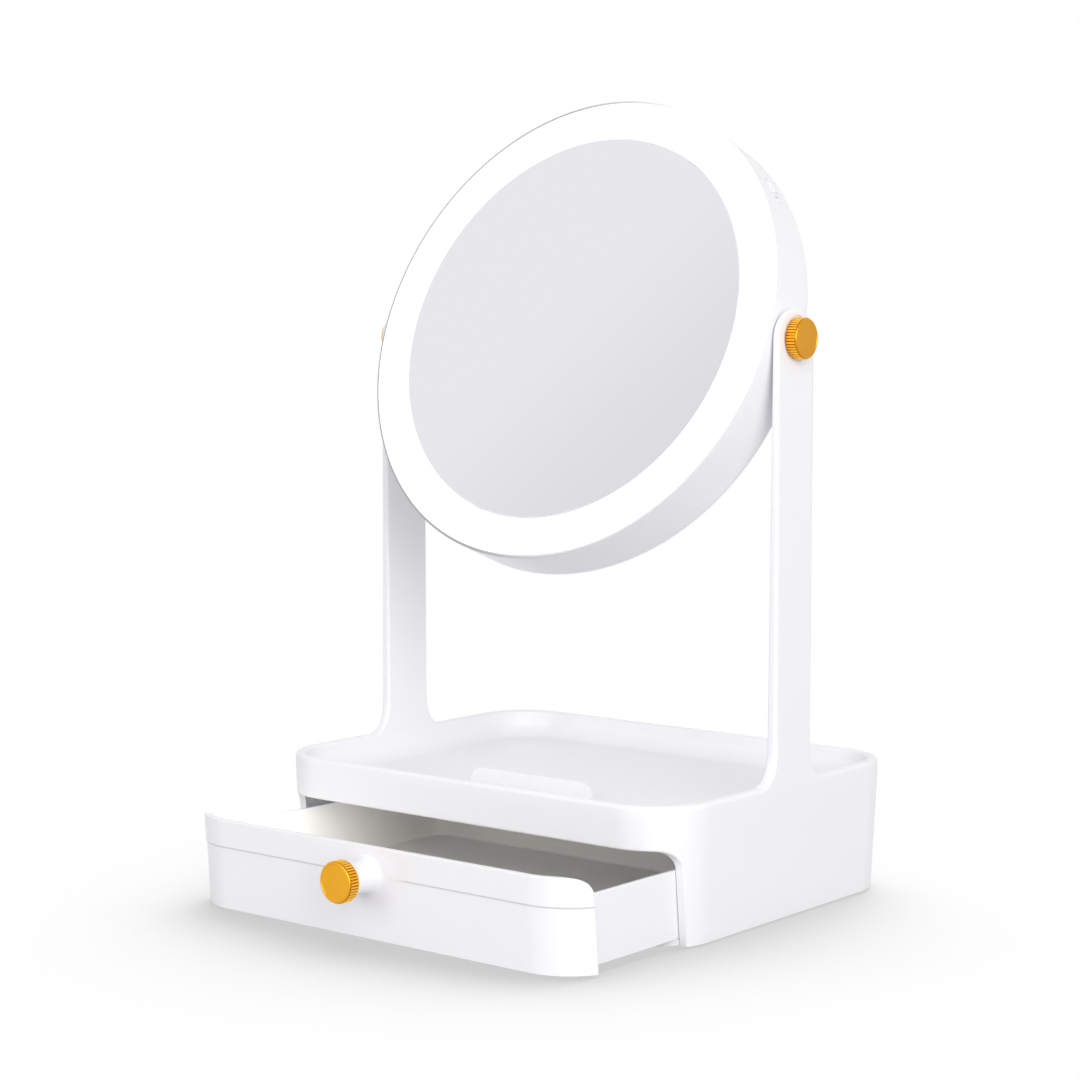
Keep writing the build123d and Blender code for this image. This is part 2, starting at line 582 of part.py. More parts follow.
with BuildPart() as drawer_front:
    with BuildSketch(drawer_level(FRONT_TOP)):
        RectangleRounded(*case_size(FRONT_TOP))
    extrude(amount=FRONT_STEP_Z - FRONT_TOP, taper=CASE_DRAFT)
    with BuildSketch(drawer_level(FRONT_STEP_Z)):
        RectangleRounded(*case_size(FRONT_STEP_Z, FRONT_STEP))
    extrude(amount=FRONT_BOTTOM - FRONT_STEP_Z, taper=CASE_DRAFT)
    with BuildSketch(drawer_level(FRONT_TOP)):
        RectangleRounded(*case_size(FRONT_TOP, FRONT_STEP + FRONT_WALL))
    extrude(amount=FRONT_BOTTOM - FRONT_TOP, taper=CASE_DRAFT, mode=Mode.SUBTRACT)

    # flared pedestal for the knob
    pedestal_root = face_y(DRAWER_KNOB_HEIGHT) + FRONT_STEP
    pedestal_foot = pedestal_root + FRONT_WALL / 2
    neck = DRAWER_KNOB_HEIGHT + PEDESTAL_RADIUS
    flare_edge = neck + PEDESTAL_FLARE
    with BuildSketch(DRAWER_SIDE):
        with BuildLine():
            Bezier(
                (PEDESTAL_END, neck),
                (pedestal_root - PEDESTAL_HEIGHT * FLARE_TIGHTNESS, neck),
                (pedestal_root, neck + PEDESTAL_FLARE * FLARE_TIGHTNESS),
                (pedestal_root, flare_edge),
            )
            Polyline(
                (pedestal_root, flare_edge),
                (pedestal_foot, flare_edge),
                (pedestal_foot, DRAWER_KNOB_HEIGHT),
                (PEDESTAL_END, DRAWER_KNOB_HEIGHT),
                (PEDESTAL_END, neck),
            )
        make_face()
    revolve(axis=Axis((0, -DRAWER_OPEN, DRAWER_KNOB_HEIGHT), (0, 1, 0)))

    # side view of the front: its ends follow the parting line
    with BuildSketch(DRAWER_SIDE):
        with BuildLine():
            FilletPolyline(
                (-CASE_DEPTH, FRONT_TOP),
                (parting_y(FRONT_TOP) - PARTING_GAP, FRONT_TOP),
                (parting_y(0) - PARTING_GAP, 0),
                radius=FRONT_END_ROUND,
            )
            Polyline((parting_y(0) - PARTING_GAP, 0), (-CASE_DEPTH, 0), (-CASE_DEPTH, FRONT_TOP))
        make_face()
    extrude(amount=OUTSIDE, both=True, mode=Mode.INTERSECT)

    # screw hole from the back, and pilot holes for the two screws that hold the box
    screw_seat = face_y(DRAWER_KNOB_HEIGHT) + FRONT_STEP + FRONT_WALL - KNOB_SCREW_RADIUS * HEAD_HEIGHT_RATIO - 0.2
    with BuildSketch(drawer_front_plane(screw_seat)):
        with Locations((0, DRAWER_KNOB_HEIGHT)):
            Circle(KNOB_SCREW_RADIUS + SCREW_CLEARANCE)
    extrude(amount=CASE_DEPTH, mode=Mode.SUBTRACT)
    with BuildSketch(drawer_front_plane(screw_seat)):
        with Locations((0, DRAWER_KNOB_HEIGHT)):
            Circle(KNOB_SCREW_RADIUS * HEAD_RATIO + SCREW_CLEARANCE)
    extrude(amount=-CASE_CORNER, mode=Mode.SUBTRACT)
    box_face = face_y(FRONT_SCREW_Z) + FRONT_STEP + FRONT_WALL + BOX_FRONT_FIT
    with BuildSketch(drawer_front_plane(box_face)):
        with Locations((-FRONT_SCREW_X, FRONT_SCREW_Z), (FRONT_SCREW_X, FRONT_SCREW_Z)):
            Circle(SMALL_SCREW_RADIUS + SCREW_FIT)
    extrude(amount=FRONT_SCREW_BITE + BOX_FRONT_FIT, mode=Mode.SUBTRACT)
save(drawer_front.part, "drawer_front")

with BuildPart() as drawer_box:
    add(box_block(0, BOX_BOTTOM))
    with BuildPart(mode=Mode.PRIVATE) as cavity:
        add(box_block(BOX_WALL, BOX_BOTTOM + BOX_FLOOR))
        fillet(cavity.edges().group_by(Axis.Z)[0], BOX_INNER_ROUND)
    add(cavity.part, mode=Mode.SUBTRACT)
    with BuildSketch(drawer_level(BOX_TOP)):
        with Locations((0, BOX_REAR_Y - BOX_WALL / 2)):
            with GridLocations(2 * TAB_X, 1, 2, 1):
                Rectangle(TAB_WIDTH, BOX_WALL)
    extrude(amount=TAB_TOP - BOX_TOP)
    with BuildSketch(drawer_front_plane(box_face + BOX_WALL)):
        with Locations((-FRONT_SCREW_X, FRONT_SCREW_Z), (FRONT_SCREW_X, FRONT_SCREW_Z)):
            Circle(SMALL_SCREW_RADIUS + SCREW_CLEARANCE)
    extrude(amount=2 * BOX_WALL, both=True, mode=Mode.SUBTRACT)
save(drawer_box.part, "drawer_box")

knob_seat = Plane(
    origin=(0, PEDESTAL_END - KNOB_SEAT_GAP - DRAWER_OPEN, DRAWER_KNOB_HEIGHT),
    x_dir=(1, 0, 0),
    z_dir=(0, -1, 0),
)
with BuildPart() as drawer_knob:
    add(knurled_knob(knob_seat, KNOB_SCREW_RADIUS + SCREW_FIT))
save(drawer_knob.part, "drawer_knob")

with BuildPart() as drawer_knob_screw:
    seat = Plane(origin=(0, screw_seat - DRAWER_OPEN, DRAWER_KNOB_HEIGHT), x_dir=(1, 0, 0), z_dir=(0, 1, 0))
    add(screw(seat, KNOB_SCREW_RADIUS, screw_seat - PEDESTAL_END + KNOB_SEAT_GAP + KNOB_BORE_DEPTH))
save(drawer_knob_screw.part, "drawer_knob_screw")

with BuildPart() as drawer_front_screws:
    for side in (-1, 1):
        origin = (side * FRONT_SCREW_X, box_face + BOX_WALL - DRAWER_OPEN, FRONT_SCREW_Z)
        seat = Plane(origin=origin, x_dir=(1, 0, 0), z_dir=(0, 1, 0))
        add(screw(seat.offset(BOX_FRONT_FIT), SMALL_SCREW_RADIUS, BOX_WALL + FRONT_SCREW_BITE + BOX_FRONT_FIT))
save(drawer_front_screws.part, "drawer_front_screws")

# ================================================================ mirror head: shell
head_spots = [(FRAME_BOSS_CIRCLE * cos(radians(a)), FRAME_BOSS_CIRCLE * sin(radians(a)))
              for a in [index * 360 / FRAME_BOSS_COUNT for index in range(FRAME_BOSS_COUNT)]]
frame_boss_w = SEAT_W - FRAME_WALL - FRAME_BOSS_LENGTH
column_top_w = frame_boss_w - COLUMN_GAP
head_screw_w = back_w(FRAME_BOSS_CIRCLE) + HEAD_SCREW_SINK + HEAD_SCREW_RADIUS * HEAD_HEIGHT_RATIO
port_mouth_w = back_w(-MAIN_BOARD_Y) + PORT_SUNK
main_board_w = port_mouth_w + PORT_HEIGHT
with BuildPart() as head_shell:
    edge = HEAD_RADIUS - BACK_ROUND
    with BuildSketch(HEAD_SECTION):
        with BuildLine():
            ThreePointArc((0, BACK_CENTRE_W), (edge / 2, back_w(edge / 2)), (edge, BACK_W))
            CenterArc((edge, BACK_W + BACK_ROUND), BACK_ROUND, -QUARTER_TURN, QUARTER_TURN)
            Polyline(
                (HEAD_RADIUS, BACK_W + BACK_ROUND),
                (HEAD_RADIUS, SEAM_W),
                (0, SEAM_W),
                (0, BACK_CENTRE_W),
            )
        make_face()
    revolve(axis=HEAD_AXIS)
    with BuildPart(mode=Mode.PRIVATE) as hollow:
        with BuildSketch(HEAD_SECTION):
            with BuildLine():
                CenterArc((edge, BACK_W + BACK_ROUND), BACK_ROUND - HEAD_WALL, -QUARTER_TURN, QUARTER_TURN)
                Polyline(
                    (HEAD_INNER, BACK_W + BACK_ROUND),
                    (HEAD_INNER, SEAM_W),
                    (0, SEAM_W),
                    (0, HEAD_FLOOR_W),
                    (edge, HEAD_FLOOR_W),
                )
            make_face()
        revolve(axis=HEAD_AXIS)

        # what stands inside the shell is left out of the hollow
        with BuildSketch(head_level(HEAD_FLOOR_W)):
            with Locations(*head_spots):
                Circle(COLUMN_RADIUS)
        extrude(amount=column_top_w - HEAD_FLOOR_W, mode=Mode.SUBTRACT)
        with BuildSketch(head_level(HEAD_FLOOR_W)):
            with Locations((0, CELL_Y)):
                RectangleRounded(
                    CELL_LENGTH + 2 * CELL_FIT + 2 * HEAD_FLOOR_WALL,
                    CELL_WIDTH + 2 * CELL_FIT + 2 * HEAD_FLOOR_WALL,
                    HEAD_FLOOR_WALL,
                )
                Rectangle(CELL_LENGTH + 2 * CELL_FIT, CELL_WIDTH + 2 * CELL_FIT, mode=Mode.SUBTRACT)
        extrude(amount=CRADLE_HEIGHT, mode=Mode.SUBTRACT)
        with BuildSketch(head_level(HEAD_FLOOR_W)):
            with Locations((0, MAIN_BOARD_Y)):
                with GridLocations(
                    MAIN_BOARD_LENGTH - 2 * STANDOFF_INSET, MAIN_BOARD_WIDTH - 2 * STANDOFF_INSET, 2, 2
                ):
                    Circle(STANDOFF_RADIUS)
        extrude(amount=main_board_w - HEAD_FLOOR_W, mode=Mode.SUBTRACT)
        for side in (-1, 1):
            with BuildSketch(side_plane(HEAD_INNER + HEAD_WALL, side)):
                Circle(PIVOT_BOSS_RADIUS)
            extrude(amount=-PIVOT_BOSS_LENGTH - HEAD_WALL, mode=Mode.SUBTRACT)
        with BuildSketch(rim_plane(SWITCH_BOARD_OUT)):
            with Locations((-SWITCH_POST_X, 0), (SWITCH_POST_X, 0)):
                Circle(SWITCH_POST_RADIUS)
        extrude(amount=HEAD_RADIUS - SWITCH_BOARD_OUT, mode=Mode.SUBTRACT)
    add(hollow.part, mode=Mode.SUBTRACT)

    # flats for the pivots, and the holes for their studs
    for side in (-1, 1):
        with BuildSketch(side_plane(PIVOT_FLAT, side)):
            Circle(WASHER_RADIUS + SPOT_CLEARANCE)
        extrude(amount=HEAD_WALL, mode=Mode.SUBTRACT)
        with BuildSketch(side_plane(PIVOT_FLAT, side)):
            Circle(STUD_RADIUS + SCREW_FIT)
        extrude(amount=-2 * PIVOT_BOSS_LENGTH, mode=Mode.SUBTRACT)

    # screws through the columns
    with BuildSketch(head_level(head_screw_w)):
        with Locations(*head_spots):
            Circle(HEAD_SCREW_RADIUS + SCREW_CLEARANCE)
    extrude(amount=HEAD_RADIUS, mode=Mode.SUBTRACT)
    with BuildSketch(head_level(head_screw_w)):
        with Locations(*head_spots):
            Circle(HEAD_SCREW_RADIUS * HEAD_RATIO + SCREW_CLEARANCE)
    extrude(amount=-HEAD_SCREW_SINK - BACK_ROUND, mode=Mode.SUBTRACT)

    # mouth of the charging port
    with BuildSketch(head_level(main_board_w - 1)):
        with Locations((0, MAIN_BOARD_Y)):
            SlotOverall(PORT_LENGTH + 2 * PORT_FIT, PORT_WIDTH + 2 * PORT_FIT)
    extrude(amount=-HEAD_RADIUS, mode=Mode.SUBTRACT)

    # recess of the slide switch, and the slot for its stem
    with BuildSketch(rim_plane(HEAD_RADIUS - RECESS_DEPTH)):
        SlotOverall(RECESS_LENGTH, RECESS_WIDTH)
    extrude(amount=2 * RECESS_DEPTH, mode=Mode.SUBTRACT)
    with BuildSketch(rim_plane(HEAD_RADIUS - RECESS_DEPTH)):
        Rectangle(CAP_STEM + SWITCH_TRAVEL + 2 * CAP_STEM_GAP, CAP_STEM + 2 * CAP_STEM_GAP)
    extrude(amount=-2 * HEAD_WALL, mode=Mode.SUBTRACT)
save(head_shell.part, "head_shell")

# ================================================================ mirror head: glass and light
with BuildPart() as inner_frame:
    with BuildSketch(HEAD_SECTION):
        with BuildLine():
            plateau = GLASS_RADIUS - GLASS_EDGE
            Polyline(
                (0, SEAT_W),
                (plateau, SEAT_W),
                (plateau, CHANNEL_W),
                (FRAME_RADIUS, CHANNEL_W),
                (FRAME_RADIUS, FRAME_UNDER_W),
                (plateau - FRAME_WALL, FRAME_UNDER_W),
                (plateau - FRAME_WALL, SEAT_W - FRAME_WALL),
                (0, SEAT_W - FRAME_WALL),
                close=True,
            )
        make_face()
    revolve(axis=HEAD_AXIS)
    with BuildSketch(head_level(frame_boss_w)):
        with Locations(*head_spots):
            Circle(FRAME_BOSS_RADIUS)
    extrude(amount=FRAME_BOSS_LENGTH)
    with BuildSketch(head_level(frame_boss_w)):
        with Locations(*head_spots):
            Circle(HEAD_SCREW_RADIUS + SCREW_FIT)
    extrude(amount=HEAD_SCREW_BITE + SCREW_FIT, mode=Mode.SUBTRACT)
save(inner_frame.part, "inner_frame")

with BuildPart() as mirror_pad:
    with BuildSketch(head_level(SEAT_W)):
        Circle(PAD_RADIUS)
    extrude(amount=PAD_THICKNESS)
save(mirror_pad.part, "mirror_pad")

with BuildPart() as mirror_glass:
    with BuildSketch(head_level(SEAT_W + PAD_THICKNESS)):
        Circle(GLASS_RADIUS)
    extrude(amount=GLASS_THICKNESS)
    chamfer(mirror_glass.faces().sort_by(HEAD_AXIS)[-1].edges(), GLASS_EDGE)
save(mirror_glass.part, "mirror_glass")

with BuildPart() as light_ring:
    skirt_w = CHANNEL_W + RING_FIT
    with BuildSketch(HEAD_SECTION):
        with BuildLine():
            Polyline(
                (RING_INNER, FACE_W),
                (HEAD_RADIUS, FACE_W),
                (HEAD_RADIUS, SEAM_W + SEAM_GAP),
                (FRAME_RADIUS, SEAM_W + SEAM_GAP),
                (FRAME_RADIUS, skirt_w),
                (FRAME_RADIUS - RING_SKIRT_WALL, skirt_w),
                (FRAME_RADIUS - RING_SKIRT_WALL, FACE_W - RING_WALL),
                (RING_INNER + RING_SKIRT_WALL, FACE_W - RING_WALL),
                (RING_INNER + RING_SKIRT_WALL, skirt_w),
                (RING_INNER, skirt_w),
                close=True,
            )
        make_face()
    revolve(axis=HEAD_AXIS)
    fillet(light_ring.faces().sort_by(HEAD_AXIS)[-1].edges(), RING_EDGE_ROUND)
save(light_ring.part, "light_ring")

with BuildPart() as led_board:
    with BuildSketch(head_level(CHANNEL_W)):
        Circle(LED_BOARD_OUTER)
        Circle(LED_BOARD_INNER, mode=Mode.SUBTRACT)
    extrude(amount=BOARD_THICKNESS)
save(led_board.part, "led_board")

with BuildPart() as leds:
    with BuildSketch(head_level(CHANNEL_W + BOARD_THICKNESS)):
        with PolarLocations((LED_BOARD_INNER + LED_BOARD_OUTER) / 2, LED_COUNT):
            Rectangle(LED_WIDTH, LED_LENGTH)
    extrude(amount=LED_HEIGHT)
save(leds.part, "leds")

# ================================================================ mirror head: power
with BuildPart() as battery_cell:
    with BuildSketch(head_level(HEAD_FLOOR_W)):
        with Locations((0, CELL_Y)):
            RectangleRounded(CELL_LENGTH, CELL_WIDTH, HEAD_FLOOR_WALL)
    extrude(amount=CELL_THICKNESS)
save(battery_cell.part, "battery_cell")

with BuildPart() as control_board:
    with BuildSketch(head_level(main_board_w)):
        with Locations((0, MAIN_BOARD_Y)):
            RectangleRounded(MAIN_BOARD_LENGTH, MAIN_BOARD_WIDTH, BOARD_THICKNESS)
    extrude(amount=BOARD_THICKNESS)
save(control_board.part, "control_board")

with BuildPart() as charging_port:
    with BuildSketch(head_level(port_mouth_w)):
        with Locations((0, MAIN_BOARD_Y)):
            SlotOverall(PORT_LENGTH, PORT_WIDTH)
    extrude(amount=PORT_HEIGHT)
    with BuildSketch(head_level(port_mouth_w)):
        with Locations((0, MAIN_BOARD_Y)):
            SlotOverall(PORT_LENGTH - 2 * PORT_WALL, PORT_WIDTH - 2 * PORT_WALL)
    extrude(amount=PORT_DEPTH, mode=Mode.SUBTRACT)
    with BuildSketch(head_level(port_mouth_w + 2 * PORT_WALL)):
        with Locations((0, MAIN_BOARD_Y)):
            Rectangle(PORT_LENGTH - 3 * PORT_WALL - PORT_WIDTH / 2, 2 * PORT_WALL)
    extrude(amount=PORT_DEPTH)
save(charging_port.part, "charging_port")

with BuildPart() as head_screws:
    for x, y in head_spots:
        seat = head_level(head_screw_w)
        origin = seat.from_local_coords((x, y, 0))
        length = frame_boss_w + HEAD_SCREW_BITE - head_screw_w
        add(screw(Plane(origin=origin, x_dir=(1, 0, 0), z_dir=-NORMAL), HEAD_SCREW_RADIUS, length))
save(head_screws.part, "head_screws")

# ================================================================ mirror head: slide switch
with BuildPart() as switch_body:
    with BuildSketch(rim_plane(SWITCH_BOARD_OUT)):
        RectangleRounded(SWITCH_BODY_LENGTH, SWITCH_BODY_WIDTH, SWITCH_END_GAP)
    extrude(amount=SWITCH_BODY_HEIGHT)
    with BuildSketch(rim_plane(SWITCH_BOARD_OUT + SWITCH_BODY_HEIGHT)):
        Rectangle(CAP_STEM + SWITCH_TRAVEL + 2 * CAP_STEM_GAP, CAP_STEM + 2 * CAP_STEM_GAP)
    extrude(amount=-SWITCH_BODY_HEIGHT / 2, mode=Mode.SUBTRACT)
save(switch_body.part, "switch_body")

with BuildPart() as switch_board:
    with BuildSketch(rim_plane(SWITCH_BOARD_OUT)):
        RectangleRounded(SWITCH_BOARD_LENGTH, SWITCH_BOARD_WIDTH, BOARD_THICKNESS)
    extrude(amount=-BOARD_THICKNESS)
save(switch_board.part, "switch_board")

# The cap stands at the upper end of its recess.
cap_seat_out = HEAD_RADIUS - RECESS_DEPTH + CAP_SEAT
with BuildPart() as switch_cap:
    with BuildSketch(rim_plane(cap_seat_out)):
        with Locations((SWITCH_TRAVEL / 2, 0)):
            SlotOverall(CAP_LENGTH, CAP_WIDTH)
    extrude(amount=CAP_THICKNESS)
    with BuildSketch(rim_plane(cap_seat_out + CAP_THICKNESS)):
        with Locations((SWITCH_TRAVEL / 2, 0)):
            SlotOverall(CAP_RIB_LENGTH, CAP_RIB_WIDTH)
    extrude(amount=CAP_RIB_HEIGHT)
    with BuildSketch(rim_plane(cap_seat_out)):
        with Locations((SWITCH_TRAVEL / 2, 0)):
            Rectangle(CAP_STEM, CAP_STEM)
    extrude(amount=-CAP_STEM_DEPTH)
save(switch_cap.part, "switch_cap")

# ================================================================ tilt pivots
with BuildPart() as pivot_studs:
    for side in (-1, 1):
        with BuildSketch(side_plane(NUT_X - NUT_THICKNESS - STUD_TAIL, side)):
            Circle(STUD_RADIUS)
        extrude(amount=STUD_OUTER - NUT_X + NUT_THICKNESS + STUD_TAIL)
save(pivot_studs.part, "pivot_studs")

with BuildPart() as pivot_nuts:
    for side in (-1, 1):
        with BuildSketch(side_plane(NUT_X, side)):
            RegularPolygon(NUT_RADIUS, 6)
            Circle(STUD_RADIUS + SCREW_FIT, mode=Mode.SUBTRACT)
        extrude(amount=-NUT_THICKNESS)
save(pivot_nuts.part, "pivot_nuts")

with BuildPart() as friction_washers:
    for side in (-1, 1):
        with BuildSketch(side_plane(PIVOT_FLAT, side)):
            Circle(WASHER_RADIUS)
            Circle(STUD_RADIUS + SCREW_FIT, mode=Mode.SUBTRACT)
        extrude(amount=WASHER_THICKNESS)
save(friction_washers.part, "friction_washers")

for side, name in ((-1, "side_knob_left"), (1, "side_knob_right")):
    with BuildPart() as side_knob:
        add(knurled_knob(side_plane(KNOB_SEAT_X, side), STUD_RADIUS + SCREW_FIT))
    save(side_knob.part, name)
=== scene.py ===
# %% [markdown]
# # Lighted vanity mirror with a drawer
# A round mirror with a light ring leans back between two slim posts. The posts grow out of
# a tray, and under the tray a drawer stands half open. Every solid comes from the CAD model,
# which is loaded as a fixed frame: nothing here moves or resizes it. What is left to do is
# to give each surface its real finish, to refine what shows from close by, and to light it.

import json
from math import copysign, cos, degrees, pi, radians, sin

import bmesh
import bpy
from mathutils import Matrix, Vector


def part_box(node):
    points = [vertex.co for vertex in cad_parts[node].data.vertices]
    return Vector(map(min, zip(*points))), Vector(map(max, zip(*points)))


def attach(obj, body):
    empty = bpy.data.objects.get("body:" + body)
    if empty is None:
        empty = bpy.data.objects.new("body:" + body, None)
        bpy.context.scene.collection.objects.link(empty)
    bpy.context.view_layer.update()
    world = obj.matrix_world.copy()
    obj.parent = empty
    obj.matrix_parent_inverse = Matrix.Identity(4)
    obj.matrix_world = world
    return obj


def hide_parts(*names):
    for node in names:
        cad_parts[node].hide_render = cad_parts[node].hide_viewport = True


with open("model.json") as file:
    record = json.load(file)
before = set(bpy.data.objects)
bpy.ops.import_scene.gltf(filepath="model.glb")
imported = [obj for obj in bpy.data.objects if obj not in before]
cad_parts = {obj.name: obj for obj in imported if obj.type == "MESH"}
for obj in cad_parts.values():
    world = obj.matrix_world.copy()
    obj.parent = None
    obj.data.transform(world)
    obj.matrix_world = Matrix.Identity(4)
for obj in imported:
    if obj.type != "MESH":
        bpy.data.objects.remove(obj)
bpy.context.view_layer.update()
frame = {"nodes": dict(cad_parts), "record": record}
nodes = frame["nodes"]
record = frame["record"]
body_of_node = {name: body for body, names in record["behaviour"]["bodies"].items() for name in names}
slot_of_node = {part["node"]: part["material_slot"] for part in record["subparts"]}
scene = bpy.context.scene

# %% [markdown]
# ## Places taken from the frame
# Sizes are in metres. The tilt axis runs between the two side knobs, so its place is the
# middle of their studs. The mirror's normal points from there to the middle of the glass.

# %% Tilt axis and mirror plane
MM = 0.001


def middle(node):
    """Centre of a CAD node's box."""
    low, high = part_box(node)
    return (low + high) / 2


tilt_axis = middle("pivot_studs")
glass_centre = middle("mirror_glass")
mirror_normal = (glass_centre - tilt_axis).normalized()
mirror_lean = mirror_normal.angle(Vector((0, 0, 1)))
ring_low, ring_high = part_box("light_ring")
ring_radius = (ring_high.x - ring_low.x) / 2
print("mirror leans back", round(90 - degrees(mirror_lean), 2), "degrees")
print("ring radius", round(ring_radius / MM, 1), "mm")

# %% [markdown]
# ## Node helpers
# Shader trees and geometry trees are built from the same few moves: make a node, set its
# inputs, link it. These helpers keep each material short enough to read at a glance.


# %% Node helpers
def place(tree, kind, links=(), **values):
    """Make a node, set inputs by name (spaces as underscores) and link sockets into others."""
    node = tree.nodes.new(kind)
    for key, value in values.items():
        node.inputs[key.replace("_", " ")].default_value = value
    for socket, key in links:
        tree.links.new(socket, node.inputs[key])
    return node


def new_group(name, inputs, outputs, kind="ShaderNodeTree"):
    """Empty node group; inputs are (name, socket type, value) and outputs (name, socket type)."""
    group = bpy.data.node_groups.new(name, kind)
    make_socket = group.interface.new_socket
    for label, socket_type, value in inputs:
        socket = make_socket(name=label, in_out="INPUT", socket_type="NodeSocket" + socket_type)
        if value is not None:
            socket.default_value = value
    for label, socket_type in outputs:
        make_socket(name=label, in_out="OUTPUT", socket_type="NodeSocket" + socket_type)
    return group, group.nodes.new("NodeGroupInput").outputs, group.nodes.new("NodeGroupOutput")


def calculate(tree, operation, first, second=0.0):
    """Math node; each operand is a number or an output socket."""
    node = tree.nodes.new("ShaderNodeMath")
    node.operation = operation
    for index, value in enumerate((first, second)):
        if isinstance(value, (int, float)):
            node.inputs[index].default_value = value
        else:
            tree.links.new(value, node.inputs[index])
    return node.outputs[0]


def object_place(tree):
    """Coordinates fixed to the piece."""
    return tree.nodes.new("ShaderNodeTexCoord").outputs["Object"]


def spread(tree, value, low, high, to_low=0.0, to_high=1.0):
    """Soft step: the value from low to high comes out from to_low to to_high."""
    node = tree.nodes.new("ShaderNodeMapRange")
    node.interpolation_type = "SMOOTHSTEP"
    tree.links.new(value, node.inputs["Value"])
    for key, number in (("From Min", low), ("From Max", high), ("To Min", to_low), ("To Max", to_high)):
        if isinstance(number, (int, float)):
            node.inputs[key].default_value = number
        else:
            tree.links.new(number, node.inputs[key])
    return node.outputs["Result"]


# %% [markdown]
# ## Shared surface effects
# Moulded plastic is never perfectly smooth. Light catches a very fine spark-eroded grain and
# a slow waviness left by shrinkage. Both are wanted on several plastics at different
# strengths, so they are one node group that puts out a height for bump and a mask for tone.

# %% Moulded skin group
moulded_skin, skin_in, skin_out = new_group(
    "moulded_skin",
    [
        ("Grain Scale", "Float", 1800.0),
        ("Grain", "Float", 0.1),
        ("Wave Scale", "Float", 9.0),
        ("Wave", "Float", 1.0),
    ],
    [("Height", "Float"), ("Mask", "Float")],
)


def cloudy(tree, vector, scale, detail):
    """Noise texture; vector and scale are sockets."""
    links = [(vector, "Vector"), (scale, "Scale")]
    return place(tree, "ShaderNodeTexNoise", links, Detail=detail).outputs["Fac"]


skin_place = object_place(moulded_skin)
grain = cloudy(moulded_skin, skin_place, skin_in["Grain Scale"], 2.0)
wave = cloudy(moulded_skin, skin_place, skin_in["Wave Scale"], 0.0)
skin_height = calculate(
    moulded_skin,
    "ADD",
    calculate(moulded_skin, "MULTIPLY", grain, skin_in["Grain"]),
    calculate(moulded_skin, "MULTIPLY", wave, skin_in["Wave"]),
)
moulded_skin.links.new(skin_height, skin_out.inputs["Height"])
moulded_skin.links.new(wave, skin_out.inputs["Mask"])
print("group", moulded_skin.name)

# %% [markdown]
# ## Handling
# Where a thing is touched and wiped, its gloss gets slightly uneven. The group gives one
# soft cloud that the materials use to vary their roughness.

# %% Handling group
handling, touch_in, touch_out = new_group(
    "handling", [("Scale", "Float", 22.0), ("Detail", "Float", 3.0)], [("Mask", "Float")]
)
cloud = place(
    handling,
    "ShaderNodeTexNoise",
    [(object_place(handling), "Vector"), (touch_in["Scale"], "Scale"), (touch_in["Detail"], "Detail")],
).outputs["Fac"]
handling.links.new(spread(handling, cloud, 0.3, 0.75), touch_out.inputs["Mask"])
print("group", handling.name)

# %% [markdown]
# ## Distance from an axis
# Turned and round pieces need patterns that follow their own axis: turning rings on a knob,
# or the edge of the light ring. A Mapping node in the material brings the axis to the
# origin along Z, and this group measures how far a point lies from it.

# %% Axis distance group
axis_distance, axis_in, axis_out = new_group(
    "axis_distance", [("Vector", "Vector", None)], [("Distance", "Float")]
)
axis_parts = place(axis_distance, "ShaderNodeSeparateXYZ", [(axis_in["Vector"], "Vector")]).outputs
squares = calculate(
    axis_distance,
    "ADD",
    calculate(axis_distance, "MULTIPLY", axis_parts["X"], axis_parts["X"]),
    calculate(axis_distance, "MULTIPLY", axis_parts["Y"], axis_parts["Y"]),
)
axis_distance.links.new(calculate(axis_distance, "SQRT", squares), axis_out.inputs["Distance"])
print("group", axis_distance.name)

# %% [markdown]
# ## Materials
# One helper starts every material: a Principled shader with its constant values set on its
# own sockets. What changes over the surface is linked in afterwards.


# %% Material helpers
def new_material(name, colour, roughness, **values):
    """Principled material; values are socket names with spaces written as underscores."""
    material = bpy.data.materials.new(name)
    material.use_nodes = True
    shader = material.node_tree.nodes["Principled BSDF"]
    shader.inputs["Base Color"].default_value = (*colour, 1.0)
    shader.inputs["Roughness"].default_value = roughness
    for key, value in values.items():
        shader.inputs[key.replace("_", " ")].default_value = value
    return material, material.node_tree, shader


def use_group(tree, group, links=(), **values):
    """Place a node group, link and set its inputs."""
    node = tree.nodes.new("ShaderNodeGroup")
    node.node_tree = group
    for key, value in values.items():
        node.inputs[key.replace("_", " ")].default_value = value
    for socket, key in links:
        tree.links.new(socket, node.inputs[key])
    return node.outputs


def about_axis(tree, centre, turn):
    """Coordinates about an axis: centre becomes the origin and turn is undone."""
    own_place = [(object_place(tree), "Vector")]
    node = place(tree, "ShaderNodeMapping", own_place, Location=centre, Rotation=turn)
    node.vector_type = "TEXTURE"
    return node.outputs["Vector"]


def blend(tree, mask, first, second):
    """Mix two colours by a mask."""
    node = tree.nodes.new("ShaderNodeMix")
    node.data_type = "RGBA"
    tree.links.new(mask, node.inputs["Factor"])
    for key, colour in (("A", first), ("B", second)):
        if isinstance(colour, tuple):
            node.inputs[key].default_value = (*colour, 1.0)
        else:
            tree.links.new(colour, node.inputs[key])
    return node.outputs["Result"]


def add_bump(tree, shader, height, strength, distance):
    """Feed a height into the shader's normal."""
    bump = place(tree, "ShaderNodeBump", [(height, "Height")], Strength=strength, Distance=distance)
    tree.links.new(bump.outputs["Normal"], shader.inputs["Normal"])


def uneven_gloss(tree, shader, low, high, **values):
    """Roughness that wanders from low to high as the handling mask does; returns the mask."""
    touched = use_group(tree, handling, **values)["Mask"]
    tree.links.new(spread(tree, touched, 0.0, 1.0, low, high), shader.inputs["Roughness"])
    return touched


